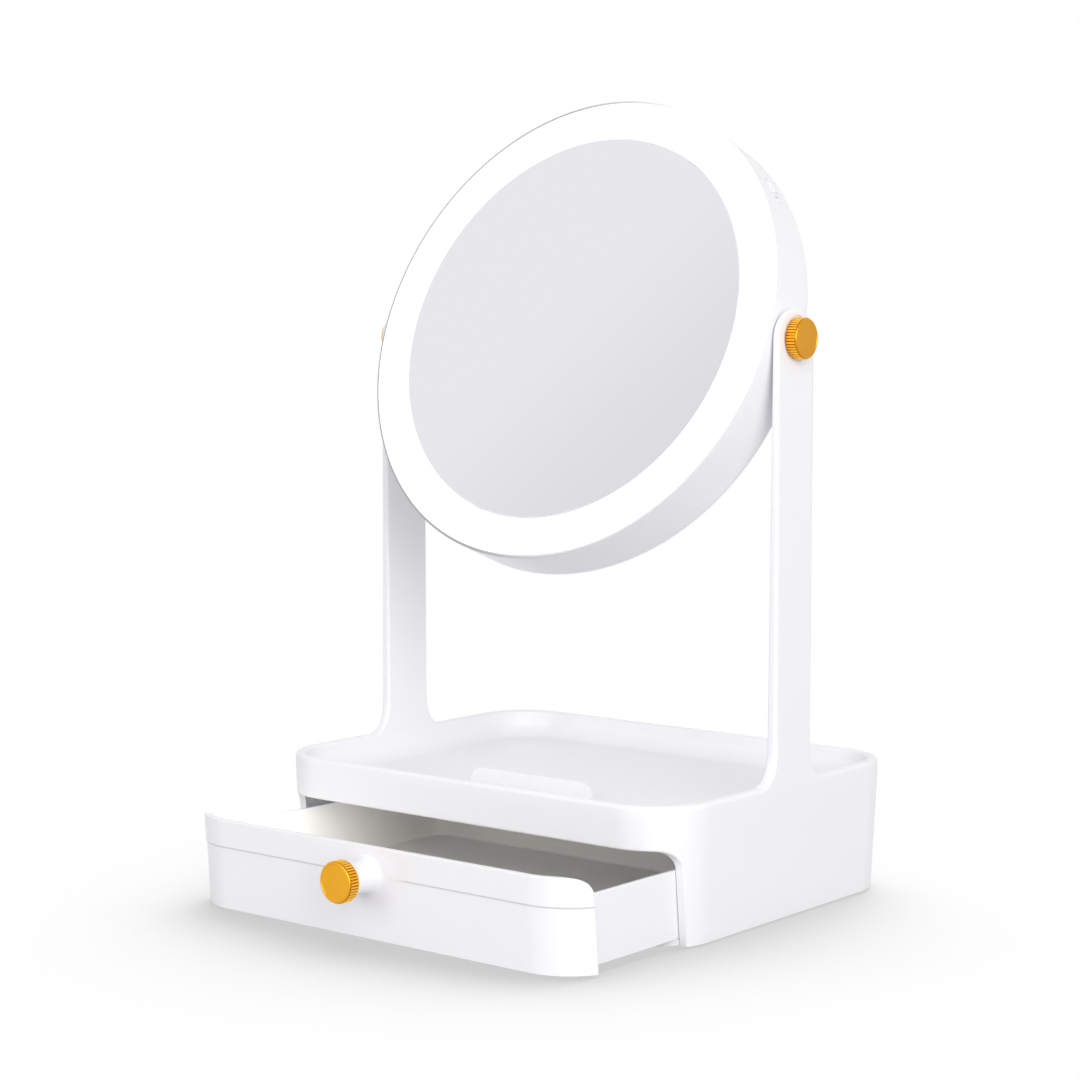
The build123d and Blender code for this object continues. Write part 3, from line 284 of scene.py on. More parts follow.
def split_place(tree, vector=None):
    """The X, Y and Z of a point, by default of the point's place on the piece."""
    source = object_place(tree) if vector is None else vector
    return place(tree, "ShaderNodeSeparateXYZ", [(source, "Vector")]).outputs


# %% [markdown]
# ## White plastics
# The outside is white ABS with a soft gloss and a slightly cool tone. The drawer's tray is
# the same resin, a touch warmer inside, and the inner parts, which hardly show, are duller.


# %% Plastic
WHITE = (0.905, 0.903, 0.93)
WHITE_DEEP = (0.89, 0.888, 0.916)
SATIN = 0.3
SOFT_COAT = {"Coat_Weight": 0.1, "Coat_Roughness": 0.12}
GLOSS_WANDER = 0.02
SKIN_BUMP = 0.1
SKIN_DEPTH = 0.04 * MM


def plastic(name, light, dark, roughness, grain=0.1, bump=SKIN_BUMP, **values):
    """Moulded plastic: two close tones, uneven roughness and a fine grain."""
    material, tree, shader = new_material(name, light, roughness, **values)
    skin = use_group(tree, moulded_skin, Grain=grain)
    tree.links.new(blend(tree, skin["Mask"], dark, light), shader.inputs["Base Color"])
    uneven_gloss(tree, shader, roughness - GLOSS_WANDER, roughness + GLOSS_WANDER)
    add_bump(tree, shader, skin["Height"], bump, SKIN_DEPTH)
    return material


plain_plastics = {
    "washer_plastic": ((0.7, 0.7, 0.68), (0.66, 0.66, 0.64), 0.4),
    "switch_plastic": ((0.02, 0.02, 0.021), (0.015, 0.015, 0.016), 0.45),
    "cell_wrap": ((0.06, 0.1, 0.24), (0.05, 0.085, 0.2), 0.35),
    "circuit_board": ((0.72, 0.74, 0.7), (0.66, 0.68, 0.64), 0.4),
    "led_package": ((0.9, 0.78, 0.25), (0.85, 0.7, 0.2), 0.25),
}
coarse_plastics = {
    "inner_plastic": ((0.82, 0.82, 0.81), (0.79, 0.79, 0.78), 0.5, 0.5, 0.3),
    "foot_rubber": ((0.42, 0.42, 0.41), (0.36, 0.36, 0.35), 0.7, 1.0, 0.5),
    "foam_pad": ((0.05, 0.05, 0.05), (0.03, 0.03, 0.03), 0.9, 1.0, 0.8),
}
finish = {"white_plastic": plastic("white_plastic", WHITE, WHITE_DEEP, SATIN, **SOFT_COAT)}
for name, values in (plain_plastics | coarse_plastics).items():
    finish[name] = plastic(name, *values)
print("plastics:", sorted(finish))

# %% [markdown]
# The drawer's tray has two tones. Outside it is as white as the case. Inside, where light
# only arrives after several bounces, the shade turns warm, and that warm shade is painted in
# as a cream tone: a mask that starts inside the box's walls brings in that tone.

# %% Drawer tray
BOX_WALL = 1.8 * MM
SHADE_TINT_TOP = 24.5 * MM
SHADE_TINT_FADE = 0.7 * MM
CREAM_SHADE = (0.91, 0.895, 0.865)
CREAM_SHADE_DEEP = (0.9, 0.885, 0.85)
box_low, box_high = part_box("drawer_box")
drawer_plastic, tree, shader = new_material("drawer_plastic", WHITE, 0.38)
skin = use_group(tree, moulded_skin)
parts = split_place(tree)
side_distance = calculate(tree, "ABSOLUTE", parts["X"])
wall_start, wall_end = (box_high.x - BOX_WALL * share for share in (0.9, 0.7))
inside_walls = spread(tree, side_distance, wall_start, wall_end, 1.0, 0.0)
shade_tint_top = box_low.z + SHADE_TINT_TOP
below_rim = spread(tree, parts["Z"], shade_tint_top, shade_tint_top + SHADE_TINT_FADE, 1.0, 0.0)
# painted shade: inside the walls and below the rim the colour turns cream
inside = calculate(tree, "MULTIPLY", inside_walls, below_rim)
outer_tone = blend(tree, skin["Mask"], WHITE_DEEP, WHITE)
painted_shade_tone = blend(tree, skin["Mask"], CREAM_SHADE_DEEP, CREAM_SHADE)
tree.links.new(blend(tree, inside, outer_tone, painted_shade_tone), shader.inputs["Base Color"])
uneven_gloss(tree, shader, 0.34, 0.42)
add_bump(tree, shader, skin["Height"], SKIN_BUMP, SKIN_DEPTH)
finish["drawer_plastic"] = drawer_plastic
print("drawer tray: white outside, cream inside")

# %% [markdown]
# The drawer's front has a step across its face. Painted shade follows that step as a thin
# darker line, and it stops where the knob's pedestal covers the step.

# %% Drawer front
STEP_HEIGHT = 26.1 * MM
STEP_LINE = 0.28 * MM
STEP_SHADE_TONE = (0.66, 0.65, 0.67)
PEDESTAL_REACH = 15.0 * MM
LINE_FADE = 6.0 * MM
front_plastic, tree, shader = new_material("front_plastic", WHITE, SATIN, **SOFT_COAT)
skin = use_group(tree, moulded_skin)
white = blend(tree, skin["Mask"], WHITE_DEEP, WHITE)
parts = split_place(tree)
from_step = calculate(tree, "ABSOLUTE", calculate(tree, "SUBTRACT", parts["Z"], STEP_HEIGHT))
from_middle = calculate(tree, "ABSOLUTE", parts["X"])
# painted shade: a thin darker line along the step, fading out beside the pedestal
step_shade_line = calculate(
    tree,
    "MULTIPLY",
    spread(tree, from_step, STEP_LINE * 0.6, STEP_LINE * 1.6, 1.0, 0.0),
    spread(tree, from_middle, PEDESTAL_REACH, PEDESTAL_REACH + LINE_FADE),
)
tree.links.new(blend(tree, step_shade_line, white, STEP_SHADE_TONE), shader.inputs["Base Color"])
uneven_gloss(tree, shader, SATIN - GLOSS_WANDER, SATIN + GLOSS_WANDER)
add_bump(tree, shader, skin["Height"], SKIN_BUMP, SKIN_DEPTH)
print("drawer front: step line at", round(STEP_HEIGHT / MM, 1), "mm")

# %% [markdown]
# ## Metals
# Zinc-plated screws and studs are light grey metal with a slight bloom. The knobs are gold:
# a metal colour leaning to orange, a paler barrel that is a painted highlight, fine turning
# rings on the plain face, an uneven polish where fingers have been, and painted shade down in
# the grooves of the knurl. The side knobs get a darker copy of the gold, as painted shade.

# %% Knob sizes
knob_low, knob_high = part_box("drawer_knob")
KNOB_INSIDE_BOX = 0.3 * MM
KNOB_RADIUS = (knob_high.x - knob_low.x) / 2 - KNOB_INSIDE_BOX
KNOB_LENGTH = knob_high.y - knob_low.y
print("knob", round(2 * KNOB_RADIUS / MM, 2), "mm across,", round(KNOB_LENGTH / MM, 2), "mm long")


# %% Steel
def plain_metal(name, colour, roughness):
    """Metal with a faint bloom and scuffs."""
    material, tree, shader = new_material(name, colour, roughness, Metallic=1.0)
    uneven_gloss(tree, shader, roughness - 0.06, roughness + 0.1, Scale=180.0)
    skin = use_group(tree, moulded_skin, Grain_Scale=5200.0, Wave_Scale=160.0)
    add_bump(tree, shader, skin["Height"], 0.15, 0.03 * MM)
    return material


finish["steel_screws"] = plain_metal("steel_screws", (0.6, 0.6, 0.62), 0.32)
finish["port_steel"] = plain_metal("port_steel", (0.66, 0.66, 0.67), 0.28)

# %% Gold for the three knobs
FRONT_GOLD = (0.86, 0.42, 0.03)
# painted shade: the side knobs get a darker copy of the same gold
SIDE_GOLD_SHADED = (0.72, 0.33, 0.022)
BARREL_HIGHLIGHT_GOLD = (1.0, 0.56, 0.06)
GROOVE_SHADE_TONE = 0.55
WORN_TONE = 0.94
TURNING_PITCH = 0.22 * MM
TURNING_DEPTH = 0.01 * MM
BARREL_END = 0.35 * MM
GROOVE_FLOOR = 0.38 * MM
GROOVE_LIP = 0.16 * MM
TONE_FADE = 0.2 * MM


def gold_material(name, colour, centre, turn):
    """Satin gold with turning rings, painted groove shade and a painted barrel highlight."""
    material, tree, shader = new_material(name, colour, 0.28, Metallic=1.0)
    touched = uneven_gloss(tree, shader, 0.26, 0.3, Scale=120.0)
    worn = tuple(WORN_TONE * part for part in colour)
    # painted shade: a darker gold down in the knurl grooves
    groove_shade_colour = (BARREL_HIGHLIGHT_GOLD[0] * GROOVE_SHADE_TONE, BARREL_HIGHLIGHT_GOLD[1] * GROOVE_SHADE_TONE**2, 0.0)
    own_place = about_axis(tree, centre, turn)
    distance = use_group(tree, axis_distance, [(own_place, "Vector")])["Distance"]
    along = split_place(tree, own_place)["Z"]
    barrel_end = KNOB_LENGTH / 2 - BARREL_END
    barrel = spread(tree, along, barrel_end - TONE_FADE, barrel_end, 1.0, 0.0)
    low_ground = spread(tree, distance, KNOB_RADIUS - GROOVE_FLOOR, KNOB_RADIUS - GROOVE_LIP, 1.0, 0.0)
    groove_shade = calculate(tree, "MULTIPLY", barrel, low_ground)
    # painted highlight: the barrel is a paler, brighter gold
    gold_with_barrel_highlight = blend(tree, barrel, blend(tree, touched, colour, worn), BARREL_HIGHLIGHT_GOLD)
    tree.links.new(blend(tree, groove_shade, gold_with_barrel_highlight, groove_shade_colour), shader.inputs["Base Color"])
    rings = calculate(tree, "SINE", calculate(tree, "MULTIPLY", distance, 2 * pi / TURNING_PITCH))
    add_bump(tree, shader, rings, 0.1, TURNING_DEPTH)
    return material


# %% [markdown]
# ## Mirror and light ring
# The mirror is silvered glass: a sharp metal reflection with a slightly cool tone, and a
# painted shade makes it a little deeper towards its lower right. The ring is an opal
# diffuser lit from behind: its front glows evenly, and its rounded outer edge lies past the
# light's reach. On that edge painted shade keeps it grey on the left, and painted light
# whitens it on the right.

# %% Silvered glass
SILVER = (0.805, 0.8, 0.838)
SILVER_SHADED = (0.715, 0.712, 0.75)
SILVER_START, SILVER_END = -0.02, 0.125
silver, tree, shader = new_material("silvered_glass", SILVER, 0.015, Metallic=1.0)
across = split_place(tree)
above_middle = calculate(tree, "SUBTRACT", across["Z"], float(glass_centre.z))
lower_right = calculate(tree, "SUBTRACT", across["X"], above_middle)
# painted shade: the reflection turns deeper towards the lower right
silver_shade_mask = spread(tree, lower_right, SILVER_START, SILVER_END)
tree.links.new(blend(tree, silver_shade_mask, SILVER, SILVER_SHADED), shader.inputs["Base Color"])
uneven_gloss(tree, shader, 0.012, 0.03, Scale=14.0, Detail=5.0)
finish["mirror_glass"] = silver

# %% Lit diffuser
RING_GLOW = 0.45
EDGE_START = ring_radius - 1.35 * MM
EDGE_END = ring_radius - 0.85 * MM
OPAL, OPAL_DEEP = (0.94, 0.94, 0.945), (0.92, 0.92, 0.925)
EDGE_PAINTED_LIGHT, EDGE_PAINTED_SHADE = (0.9, 0.9, 0.92), (0.42, 0.4, 0.43)
SHADE_SIDE_X, LIT_SIDE_X = -0.03, 0.05
diffuser, tree, shader = new_material("ring_diffuser", OPAL, 0.35, Emission_Strength=RING_GLOW)
skin = use_group(tree, moulded_skin)
add_bump(tree, shader, skin["Height"], 0.08, SKIN_DEPTH)
ring_place = about_axis(tree, glass_centre, (mirror_lean, 0, 0))
from_axis = use_group(tree, axis_distance, [(ring_place, "Vector")])["Distance"]
edge = spread(tree, from_axis, EDGE_START, EDGE_END)
sideways = split_place(tree, ring_place)["X"]
# painted shade on the left of the rounded edge, painted light on its right
shaded_edge_side = spread(tree, sideways, SHADE_SIDE_X, LIT_SIDE_X, 1.0, 0.0)
opal = blend(tree, skin["Mask"], OPAL_DEEP, OPAL)
edge_light_and_shade = blend(tree, shaded_edge_side, EDGE_PAINTED_LIGHT, EDGE_PAINTED_SHADE)
tree.links.new(blend(tree, edge, opal, edge_light_and_shade), shader.inputs["Base Color"])
# painted light: on the right the edge keeps part of the glow
unlit = calculate(tree, "MULTIPLY", edge, spread(tree, sideways, SHADE_SIDE_X, 0.07, 1.0, 0.72))
tree.links.new(blend(tree, unlit, (1.0, 1.0, 1.0), (0.0, 0.0, 0.0)), shader.inputs["Emission Color"])
finish["ring_diffuser"] = diffuser
print("finishes:", len(finish))

# %% [markdown]
# ## Smooth copies of the CAD nodes
# A CAD node arrives as loose triangles, so light breaks at every facet. A merged copy with
# smooth shading, kept sharp only where the shape really has an edge, looks like the real
# moulding and has exactly the same surface. Weighted normals let the large flat faces keep
# their flat look beside the small rounds.

# %% Smooth copy
SHARP_ANGLE = radians(28)
MERGE = 0.002 * MM


def merged_copy(name):
    """The node's triangles, copied and joined along their edges."""
    mesh = nodes[name].data.copy()
    grid = bmesh.new()
    grid.from_mesh(mesh)
    bmesh.ops.remove_doubles(grid, verts=grid.verts, dist=MERGE)
    return mesh, grid


def link_piece(name, mesh, material):
    """Put a mesh into the scene as a piece with one material."""
    mesh.materials.clear()
    mesh.materials.append(material)
    piece = bpy.data.objects.new(name, mesh)
    scene.collection.objects.link(piece)
    return piece


def apply_modifiers(piece):
    """Turn a piece and its modifiers into a plain mesh."""
    result = bpy.data.meshes.new_from_object(piece.evaluated_get(bpy.context.evaluated_depsgraph_get()))
    piece.modifiers.clear()
    piece.data = result


def stand_for(piece, node):
    """Let a piece ride where the node does and hide the node in its place."""
    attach(piece, body_of_node[node])
    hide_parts(node)


# %% [markdown]
# ## Broken edges
# A mould never leaves a razor edge: every free rim has a small round that catches a line of
# light. The rims that show get one with a Bevel modifier, which reads the edges to round
# from a weight, so only the chosen ones change.


# %% Where rims are rounded
FRONT_RIM_DEPTH = 9.0 * MM
FRONT_RIM_CLEAR = 16.0 * MM
BOX_RIM = 26.0 * MM
front_low, front_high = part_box("drawer_front")


def on_front_rim(point):
    """Rim of the drawer's front: its top edge and, clear of the pedestal, its shoulders."""
    below_top = front_high.z - point.z
    on_shoulder = below_top < FRONT_RIM_DEPTH and abs(point.x) > FRONT_RIM_CLEAR
    return on_shoulder or below_top < 0.2 * MM


def on_box_rim(point):
    """Upper rim of the drawer's tray."""
    return point.z > box_low.z + BOX_RIM


rounded_rims = {
    "drawer_front": (on_front_rim, 0.45 * MM),
    "drawer_box": (on_box_rim, 0.35 * MM),
}
RIM_STEPS = 3
RIM_ANGLE = radians(50)
FLAT_FACE_WEIGHT = 80


def mark_rims(grid, chosen):
    """Weight the sharp edges that the test chooses; returns how many."""
    weight = grid.edges.layers.float.new("bevel_weight_edge")
    count = 0
    for edge in grid.edges:
        if len(edge.link_faces) == 2 and edge.calc_face_angle(0) > RIM_ANGLE:
            if chosen((edge.verts[0].co + edge.verts[1].co) / 2):
                edge[weight] = 1.0
                count += 1
    return count


# %% [markdown]
# ## Finer shapes
# Two forms are softer on the real product than in the CAD model. The posts are a little
# deeper from front to back and lean in slightly towards the knobs. The pedestal of the
# drawer's knob has a slimmer neck, and its foot runs out on the slanted face. Both are made
# by moving the copy's points, inside the CAD model's box.

# %% Sizes of the refined forms
RIM_TOP = 54.7 * MM
FLARE_TOP = RIM_TOP + 15.0 * MM
POST_OUTER = 103.5 * MM
POST_HALF = 11.4 * MM
POST_WIDER = 1.3 * MM
POST_LEAN = 0.9 * MM
SEAT_PLANE = 102.2 * MM
SEAT_KEEP = 10.0 * MM
FACE_DRAFT = radians(2.6)
NECK = 7.5 * MM
SLIM_NECK = 5.9 * MM
FLARE_EDGE = 16.1 * MM
FLARE_FADE = 1.6
FLARE_BLEND = 12.0 * MM
PEDESTAL_HEIGHT = 12.0 * MM
FACE_STEP = 0.4 * MM
POST_REGION = POST_OUTER - 12.0 * MM
NEAR = 0.1 * MM
knob_height = middle("drawer_knob").z
pedestal_root = front_low.y + PEDESTAL_HEIGHT + FACE_STEP
print("tilt axis", round(tilt_axis.z / MM, 1), "mm up, drawer knob", round(knob_height / MM, 1), "mm up")


# %% Moves of the posts and the pedestal
def soft_step(value, low, high):
    """0 below low, 1 above high, smooth between."""
    t = min(max((value - low) / (high - low), 0.0), 1.0)
    return t * t * (3 - 2 * t)


def refine_posts(point):
    """Widen the posts and lean their outer faces in; the knobs' seats stay round."""
    if point.z < RIM_TOP or abs(point.x) < POST_REGION:
        return
    rise = soft_step(point.z, RIM_TOP, FLARE_TOP)
    across = point.y - tilt_axis.y
    if Vector((across, point.z - tilt_axis.z)).length > SEAT_KEEP:
        point.y += POST_WIDER * rise * max(-1.0, min(1.0, across / POST_HALF))
    stands_out = abs(point.x) - SEAT_PLANE
    if stands_out > 0:
        share = (point.z - RIM_TOP) / (tilt_axis.z - RIM_TOP)
        keep = 1 - min(share, 1.0) * POST_LEAN / (POST_OUTER - SEAT_PLANE)
        point.x = copysign(SEAT_PLANE + stands_out * keep, point.x)


def refine_pedestal(point):
    """Slim the knob's pedestal and lay its foot on the drafted face."""
    away = Vector((point.x, point.z - knob_height))
    radius = away.length
    if point.y > pedestal_root + 1.0 * MM or not NECK - NEAR < radius < FLARE_EDGE + NEAR:
        return
    below = max(knob_height - point.z, 0.0) * sin(FACE_DRAFT)
    if radius > FLARE_EDGE - NEAR:
        if point.z < knob_height:
            point.y = pedestal_root + below
        return
    if point.y > pedestal_root + 0.02 * MM:
        return
    share = max((radius - NECK) / (FLARE_EDGE - NECK), 0.0)
    slim = SLIM_NECK + (FLARE_EDGE - SLIM_NECK) * share**FLARE_FADE
    point.y += below * soft_step(radius, NECK, FLARE_BLEND)
    point.x *= slim / radius
    point.z = knob_height + away.y * slim / radius


refinements = {"base_housing": refine_posts, "drawer_front": refine_pedestal}


# %% Copy every node
def smooth_copy(name, material):
    """Merged, smooth-shaded copy of a CAD node that stands for it."""
    mesh, grid = merged_copy(name)
    if name in refinements:
        for vertex in grid.verts:
            refinements[name](vertex.co)
    rounded = mark_rims(grid, rounded_rims[name][0]) if name in rounded_rims else 0
    grid.to_mesh(mesh)
    grid.free()
    if "custom_normal" in mesh.attributes:
        mesh.attributes.remove(mesh.attributes["custom_normal"])
    mesh.shade_smooth()
    mesh.set_sharp_from_angle(angle=SHARP_ANGLE)
    piece = link_piece(name + "_skin", mesh, material)
    if rounded:
        rims = piece.modifiers.new("rims", "BEVEL")
        rims.limit_method = "WEIGHT"
        rims.width = rounded_rims[name][1]
        rims.segments = RIM_STEPS
        rims.use_clamp_overlap = False
        print(name, "rounded edges:", rounded)
    even = piece.modifiers.new("even", "WEIGHTED_NORMAL")
    even.keep_sharp = True
    even.weight = FLAT_FACE_WEIGHT
    apply_modifiers(piece)
    stand_for(piece, name)
    return piece


knob_nodes = ("drawer_knob", "side_knob_left", "side_knob_right")
own_finish = {"drawer_front": front_plastic}
for name in nodes:
    if name not in knob_nodes:
        smooth_copy(name, own_finish.get(name, finish[slot_of_node[name]]))
print("smooth pieces:", len(nodes) - len(knob_nodes))

# %% [markdown]
# ## Knobs
# Each knob is a turned button with a straight knurl: a body from the lathe, and ridges that
# a knurling wheel has pressed up round its side. The body is one outline spun about the
# knob's axis. The ridges repeat, so Geometry Nodes set one bar on every point of a circle.

# %% Knurl and edge sizes
RIDGE_COUNT = 42
RIDGE_RADIUS = 0.42 * MM
RIDGE_STAND = 0.4 * MM
KNOB_EDGE = 0.4 * MM
KNOB_LAND = 0.2 * MM
FACE_INSET = 0.75 * MM
FACE_DEPTH = 0.15 * MM
BORE_DEPTH = 3.85 * MM
SPIN_STEPS = 84
EDGE_STEPS = 4
KNOB_SHARP = radians(35)
print("ridges:", RIDGE_COUNT, "on each knob")


# %% Turned body
def turned_body(bore):
    """Knob body about the Z axis, its seat at zero, with a bore from behind."""
    radius = KNOB_RADIUS - RIDGE_STAND
    corner = (radius - KNOB_EDGE, KNOB_LENGTH - KNOB_EDGE)
    dish = radius - FACE_INSET
    face = KNOB_LENGTH - FACE_DEPTH
    outline = [(0, BORE_DEPTH), (bore, BORE_DEPTH), (bore, 0), (corner[0], 0), (radius, KNOB_EDGE)]
    for step in range(EDGE_STEPS + 1):
        turn = pi / 2 * step / EDGE_STEPS
        outline.append((corner[0] + KNOB_EDGE * cos(turn), corner[1] + KNOB_EDGE * sin(turn)))
    outline += [(dish, KNOB_LENGTH), (dish - FACE_DEPTH, face), (0, face)]
    grid = bmesh.new()
    points = [grid.verts.new((r, 0, z)) for r, z in outline]
    for first, second in zip(points, points[1:]):
        grid.edges.new((first, second))
    turning = {"axis": (0, 0, 1), "cent": (0, 0, 0), "steps": SPIN_STEPS, "angle": 2 * pi}
    bmesh.ops.spin(grid, geom=grid.verts[:] + grid.edges[:], **turning)
    bmesh.ops.remove_doubles(grid, verts=grid.verts, dist=MERGE)
    bmesh.ops.dissolve_degenerate(grid, edges=grid.edges, dist=MERGE)
    bmesh.ops.recalc_face_normals(grid, faces=grid.faces)
    mesh = bpy.data.meshes.new("knob_body")
    grid.to_mesh(mesh)
    grid.free()
    mesh.shade_smooth()
    mesh.set_sharp_from_angle(angle=KNOB_SHARP)
    return mesh


# %% Knurl tree
knurl, knurl_in, knurl_out = new_group(
    "straight_knurl",
    [
        ("Geometry", "Geometry", None),
        ("Ridges", "Int", RIDGE_COUNT),
        ("Circle Radius", "Float", KNOB_RADIUS),
        ("Ridge Radius", "Float", RIDGE_RADIUS),
        ("Ridge Length", "Float", 3 * MM),
        ("Ridge Middle", "Float", 2 * MM),
        ("Material", "Material", None),
    ],
    [("Geometry", "Geometry")],
    "GeometryNodeTree",
)
RIDGE_SIDES = 10
ring_size = [(knurl_in["Ridges"], "Vertices"), (knurl_in["Circle Radius"], "Radius")]
circle = place(knurl, "GeometryNodeMeshCircle", ring_size).outputs["Mesh"]
bar_size = [(knurl_in["Ridge Radius"], "Radius"), (knurl_in["Ridge Length"], "Depth")]
bar = place(knurl, "GeometryNodeMeshCylinder", bar_size, Vertices=RIDGE_SIDES).outputs["Mesh"]
lift = place(knurl, "ShaderNodeCombineXYZ", [(knurl_in["Ridge Middle"], "Z")]).outputs["Vector"]
raised = place(knurl, "GeometryNodeTransform", [(bar, "Geometry"), (lift, "Translation")])
position = knurl.nodes.new("GeometryNodeInputPosition").outputs["Position"]
outward = place(knurl, "FunctionNodeAlignRotationToVector", [(position, "Vector")])
outward.axis = "X"
on_circle = [
    (circle, "Points"),
    (raised.outputs["Geometry"], "Instance"),
    (outward.outputs["Rotation"], "Rotation"),
]
bars = place(knurl, "GeometryNodeInstanceOnPoints", on_circle).outputs["Instances"]
joined = knurl.nodes.new("GeometryNodeJoinGeometry")
knurl.links.new(bars, joined.inputs["Geometry"])
knurl.links.new(knurl_in["Geometry"], joined.inputs["Geometry"])
real = place(knurl, "GeometryNodeRealizeInstances", [(joined.outputs["Geometry"], "Geometry")])
to_coat = [(real.outputs["Geometry"], "Geometry"), (knurl_in["Material"], "Material")]
coated = place(knurl, "GeometryNodeSetMaterial", to_coat)
knurl.links.new(coated.outputs["Geometry"], knurl_out.inputs["Geometry"])
print("tree", knurl.name, "with inputs", [socket.name for socket in knurl_in][:-1])


# %% Make the three knobs
def make_knob(node, colour, bore, axis):
    """Knurled knob on a node's place; axis points from its seat to its face."""
    low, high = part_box(node)
    centre = (low + high) / 2
    turn = Vector((0, 0, 1)).rotation_difference(axis)
    material = gold_material("gold_" + node, colour, centre, turn.to_euler())
    piece = link_piece(node + "_knurled", turned_body(bore), material)
    ridges = piece.modifiers.new("ridges", "NODES")
    ridges.node_group = knurl
    length = KNOB_LENGTH - 2 * KNOB_EDGE - KNOB_LAND
    sizes = {
        "Ridges": RIDGE_COUNT,
        "Circle Radius": KNOB_RADIUS - RIDGE_RADIUS,
        "Ridge Radius": RIDGE_RADIUS,
        "Ridge Length": length,
        "Ridge Middle": KNOB_EDGE + length / 2,
        "Material": material,
    }
    for socket in knurl.interface.items_tree:
        if socket.in_out == "INPUT" and socket.name in sizes:
            ridges[socket.identifier] = sizes[socket.name]
    apply_modifiers(piece)
    seat = centre - axis * KNOB_LENGTH / 2
    piece.data.transform(Matrix.Translation(seat) @ turn.to_matrix().to_4x4())
    stand_for(piece, node)
    return piece


STUD_BORE = 2.25 * MM
SCREW_BORE = 1.5 * MM
knob_list = [
    make_knob("drawer_knob", FRONT_GOLD, SCREW_BORE, Vector((0, -1, 0))),
    make_knob("side_knob_left", SIDE_GOLD_SHADED, STUD_BORE, Vector((-1, 0, 0))),
    make_knob("side_knob_right", SIDE_GOLD_SHADED, STUD_BORE, Vector((1, 0, 0))),
]
for piece in knob_list:
    print(piece.name, "faces", len(piece.data.polygons))

# %% [markdown]
# ## Camera
# The camera stands where the photograph was taken: to the right of the object and a little
# above the tray, looking slightly down. Its place and turn were worked out from the
# outlines in the photograph.

# %% Camera
CAMERA_PLACE = (0.62135, -0.76335, 0.2292)
CAMERA_TURN = radians(38.988)
CAMERA_DOWN = radians(4.830)
CAMERA_ROLL = radians(0.105)
LENS = 81.63
camera = bpy.data.objects.new("camera", bpy.data.cameras.new("camera"))
camera.data.lens = LENS
camera.data.sensor_width = 36.0
camera.location = CAMERA_PLACE
camera.rotation_euler = (pi / 2 - CAMERA_DOWN, -CAMERA_ROLL, CAMERA_TURN)
scene.collection.objects.link(camera)
scene.camera = camera

# %% [markdown]
# ## Floor and backdrop
# The object stands on a seamless white floor. The camera sees the floor as pure white that
# deepens softly where the object keeps the room's light off it, which is its contact shadow.
# To rays that light the object the floor is a plain grey card.

# %% Floor
FLOOR_HALF = 6.0
FLOOR_CARD = 0.6
SHADOW_REACH = 0.13
SHADOW_OPEN = 0.985
SHADOW_CLOSED = 0.3
SHADOW_TONE = 0.6
SHADOW_LOOK = (-0.1, 0.6, 1.0)
SHADOW_SAMPLES = 16
floor_mesh = bpy.data.meshes.new("floor")
floor_corners = [(x * FLOOR_HALF, y * FLOOR_HALF, 0) for x, y in ((-1, -1), (1, -1), (1, 1), (-1, 1))]
floor_mesh.from_pydata(floor_corners, [], [(0, 1, 2, 3)])
floor = bpy.data.objects.new("floor", floor_mesh)
scene.collection.objects.link(floor)


def seen_directly(tree):
    """1 for rays from the camera and for sharp reflections, 0 for rays that carry light."""
    rays = tree.nodes.new("ShaderNodeLightPath").outputs
    seen = calculate(tree, "MAXIMUM", rays["Is Camera Ray"], rays["Is Glossy Ray"])
    return calculate(tree, "MAXIMUM", seen, rays["Is Transmission Ray"])


def choose_by_ray(tree, lighting, shown, output):
    """Send one shader to rays that carry light and another to rays that look."""
    choose = tree.nodes.new("ShaderNodeMixShader")
    tree.links.new(seen_directly(tree), choose.inputs["Fac"])
    tree.links.new(lighting.outputs[0], choose.inputs[1])
    tree.links.new(shown.outputs[0], choose.inputs[2])
    tree.links.new(choose.outputs[0], tree.nodes.new(output).inputs["Surface"])


floor_material = bpy.data.materials.new("floor_white")
floor_material.use_nodes = True
tree = floor_material.node_tree
tree.nodes.clear()
grey_card = place(tree, "ShaderNodeBsdfDiffuse", Color=(FLOOR_CARD, FLOOR_CARD, FLOOR_CARD, 1))
lean_back = place(tree, "ShaderNodeCombineXYZ", X=SHADOW_LOOK[0], Y=SHADOW_LOOK[1], Z=SHADOW_LOOK[2])
lean_back = place(tree, "ShaderNodeVectorMath", [(lean_back.outputs["Vector"], 0)])
lean_back.operation = "NORMALIZE"
looked_along = [(lean_back.outputs["Vector"], "Normal")]
openness = place(tree, "ShaderNodeAmbientOcclusion", looked_along, Distance=SHADOW_REACH)
openness.samples = SHADOW_SAMPLES
white_floor = place(tree, "ShaderNodeEmission", Strength=1.0)
shade = spread(tree, openness.outputs["AO"], SHADOW_CLOSED, SHADOW_OPEN, SHADOW_TONE, 1.0)
tree.links.new(shade, white_floor.inputs["Color"])
choose_by_ray(tree, grey_card, white_floor, "ShaderNodeOutputMaterial")
floor_mesh.materials.append(floor_material)

# %% World
AMBIENT = 0.6
world = bpy.data.worlds.new("studio")
scene.world = world
world.use_nodes = True
tree = world.node_tree
tree.nodes.clear()
room = place(tree, "ShaderNodeBackground", Color=(1, 1, 1, 1), Strength=AMBIENT)
backdrop = place(tree, "ShaderNodeBackground", Color=(1, 1, 1, 1), Strength=1.0)
choose_by_ray(tree, room, backdrop, "ShaderNodeOutputWorld")

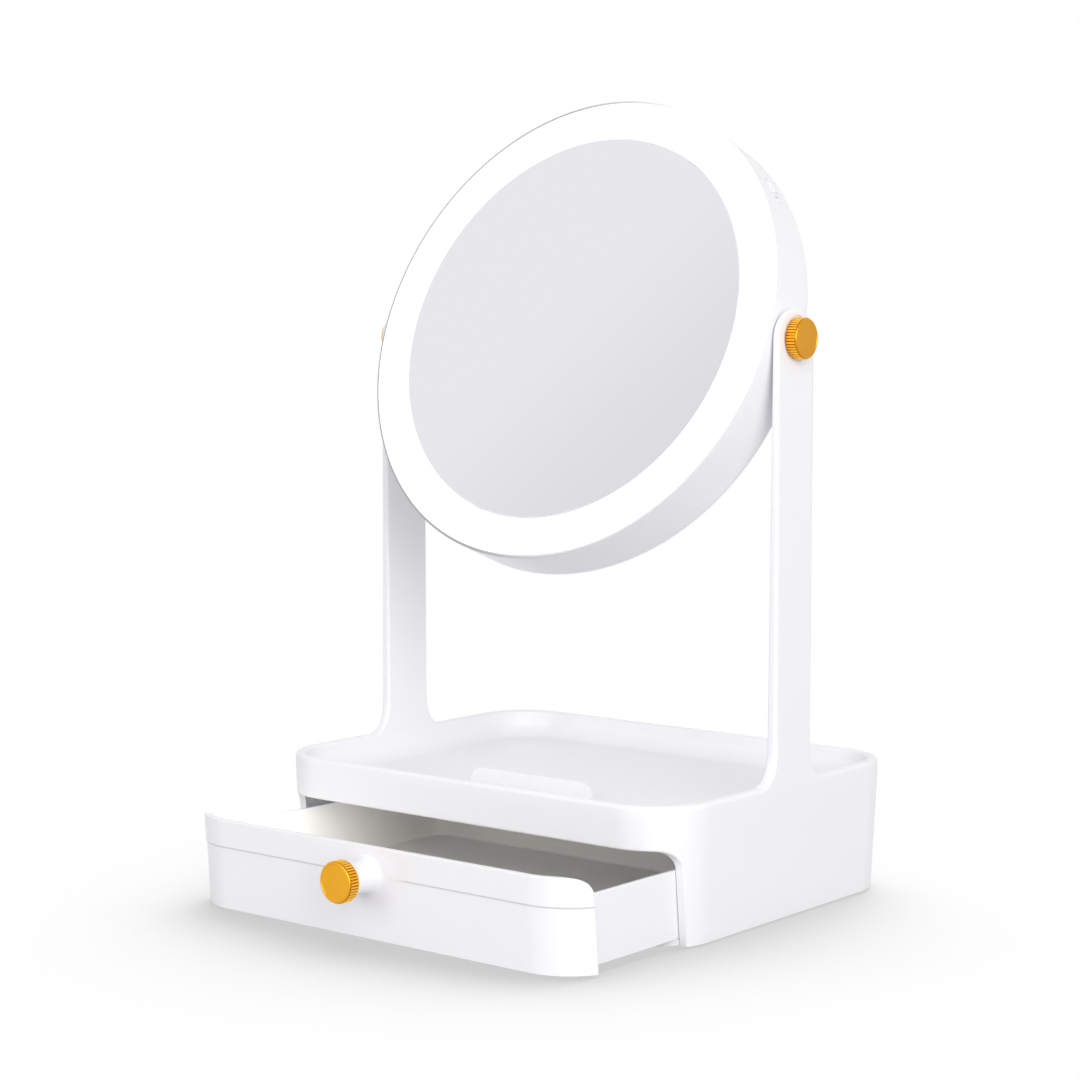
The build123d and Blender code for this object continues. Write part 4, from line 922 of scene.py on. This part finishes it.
# %% [markdown]
# ## Lamps
# A large soft lamp stands near the camera on its right, which makes the rounded corners
# that face it the brightest part. One further right and one in front fill in, and a weak
# one behind rounds off the tray. The room's even light does the rest. Light linking keeps
# these lamps off the mirror, which would show them as white squares.

# %% Lamp sizes
# name, place, width, watts
ROOM_LAMPS = (
    ("key_lamp", (1.35, -1.5, 1.0), 1.6, 14.4),
    ("right_lamp", (1.9, -0.7, 0.7), 1.6, 14.7),
    ("front_lamp", (-0.35, -1.9, 0.75), 0.9, 6.8),
    ("rear_lamp", (-1.0, 1.2, 1.3), 0.9, 1.6),
)
LAMP_TARGET = (0, 0, 0.12)


# %% Room lamps
def soft_lamp(name, place_at, size, energy, target=LAMP_TARGET):
    """Square area lamp that faces the target."""
    data = bpy.data.lights.new(name, "AREA")
    data.size = size
    data.energy = energy
    lamp = bpy.data.objects.new(name, data)
    lamp.location = place_at
    lamp.rotation_euler = (Vector(target) - Vector(place_at)).to_track_quat("-Z", "Y").to_euler()
    scene.collection.objects.link(lamp)
    return lamp


off_mirror = bpy.data.collections.new("off_mirror")
off_mirror.objects.link(bpy.data.objects["mirror_glass_skin"])
off_mirror.collection_objects[0].light_linking.link_state = "EXCLUDE"
for values in ROOM_LAMPS:
    soft_lamp(*values).light_linking.receiver_collection = off_mirror
print("room lamps:", len(ROOM_LAMPS))

# %% [markdown]
# A small lamp just over the open drawer lights the drawer's tray only, as the light that
# the white table throws back would. It shows in no picture and in no reflection.

# %% Drawer lamp
DRAWER_LAMP_PLACE = (0.0, -0.09, 0.05)
DRAWER_LAMP_TARGET = (-0.093, -0.052, 0.024)
drawer_lamp = soft_lamp("drawer_lamp", DRAWER_LAMP_PLACE, 0.03, 0.014, DRAWER_LAMP_TARGET)
drawer_lamp.data.spread = radians(80)
drawer_lamp.visible_camera = False
drawer_lamp.visible_glossy = False
drawer_only = bpy.data.collections.new("drawer_only")
drawer_only.objects.link(bpy.data.objects["drawer_box_skin"])
drawer_lamp.light_linking.receiver_collection = drawer_only
scene.view_settings.view_transform = "Standard"
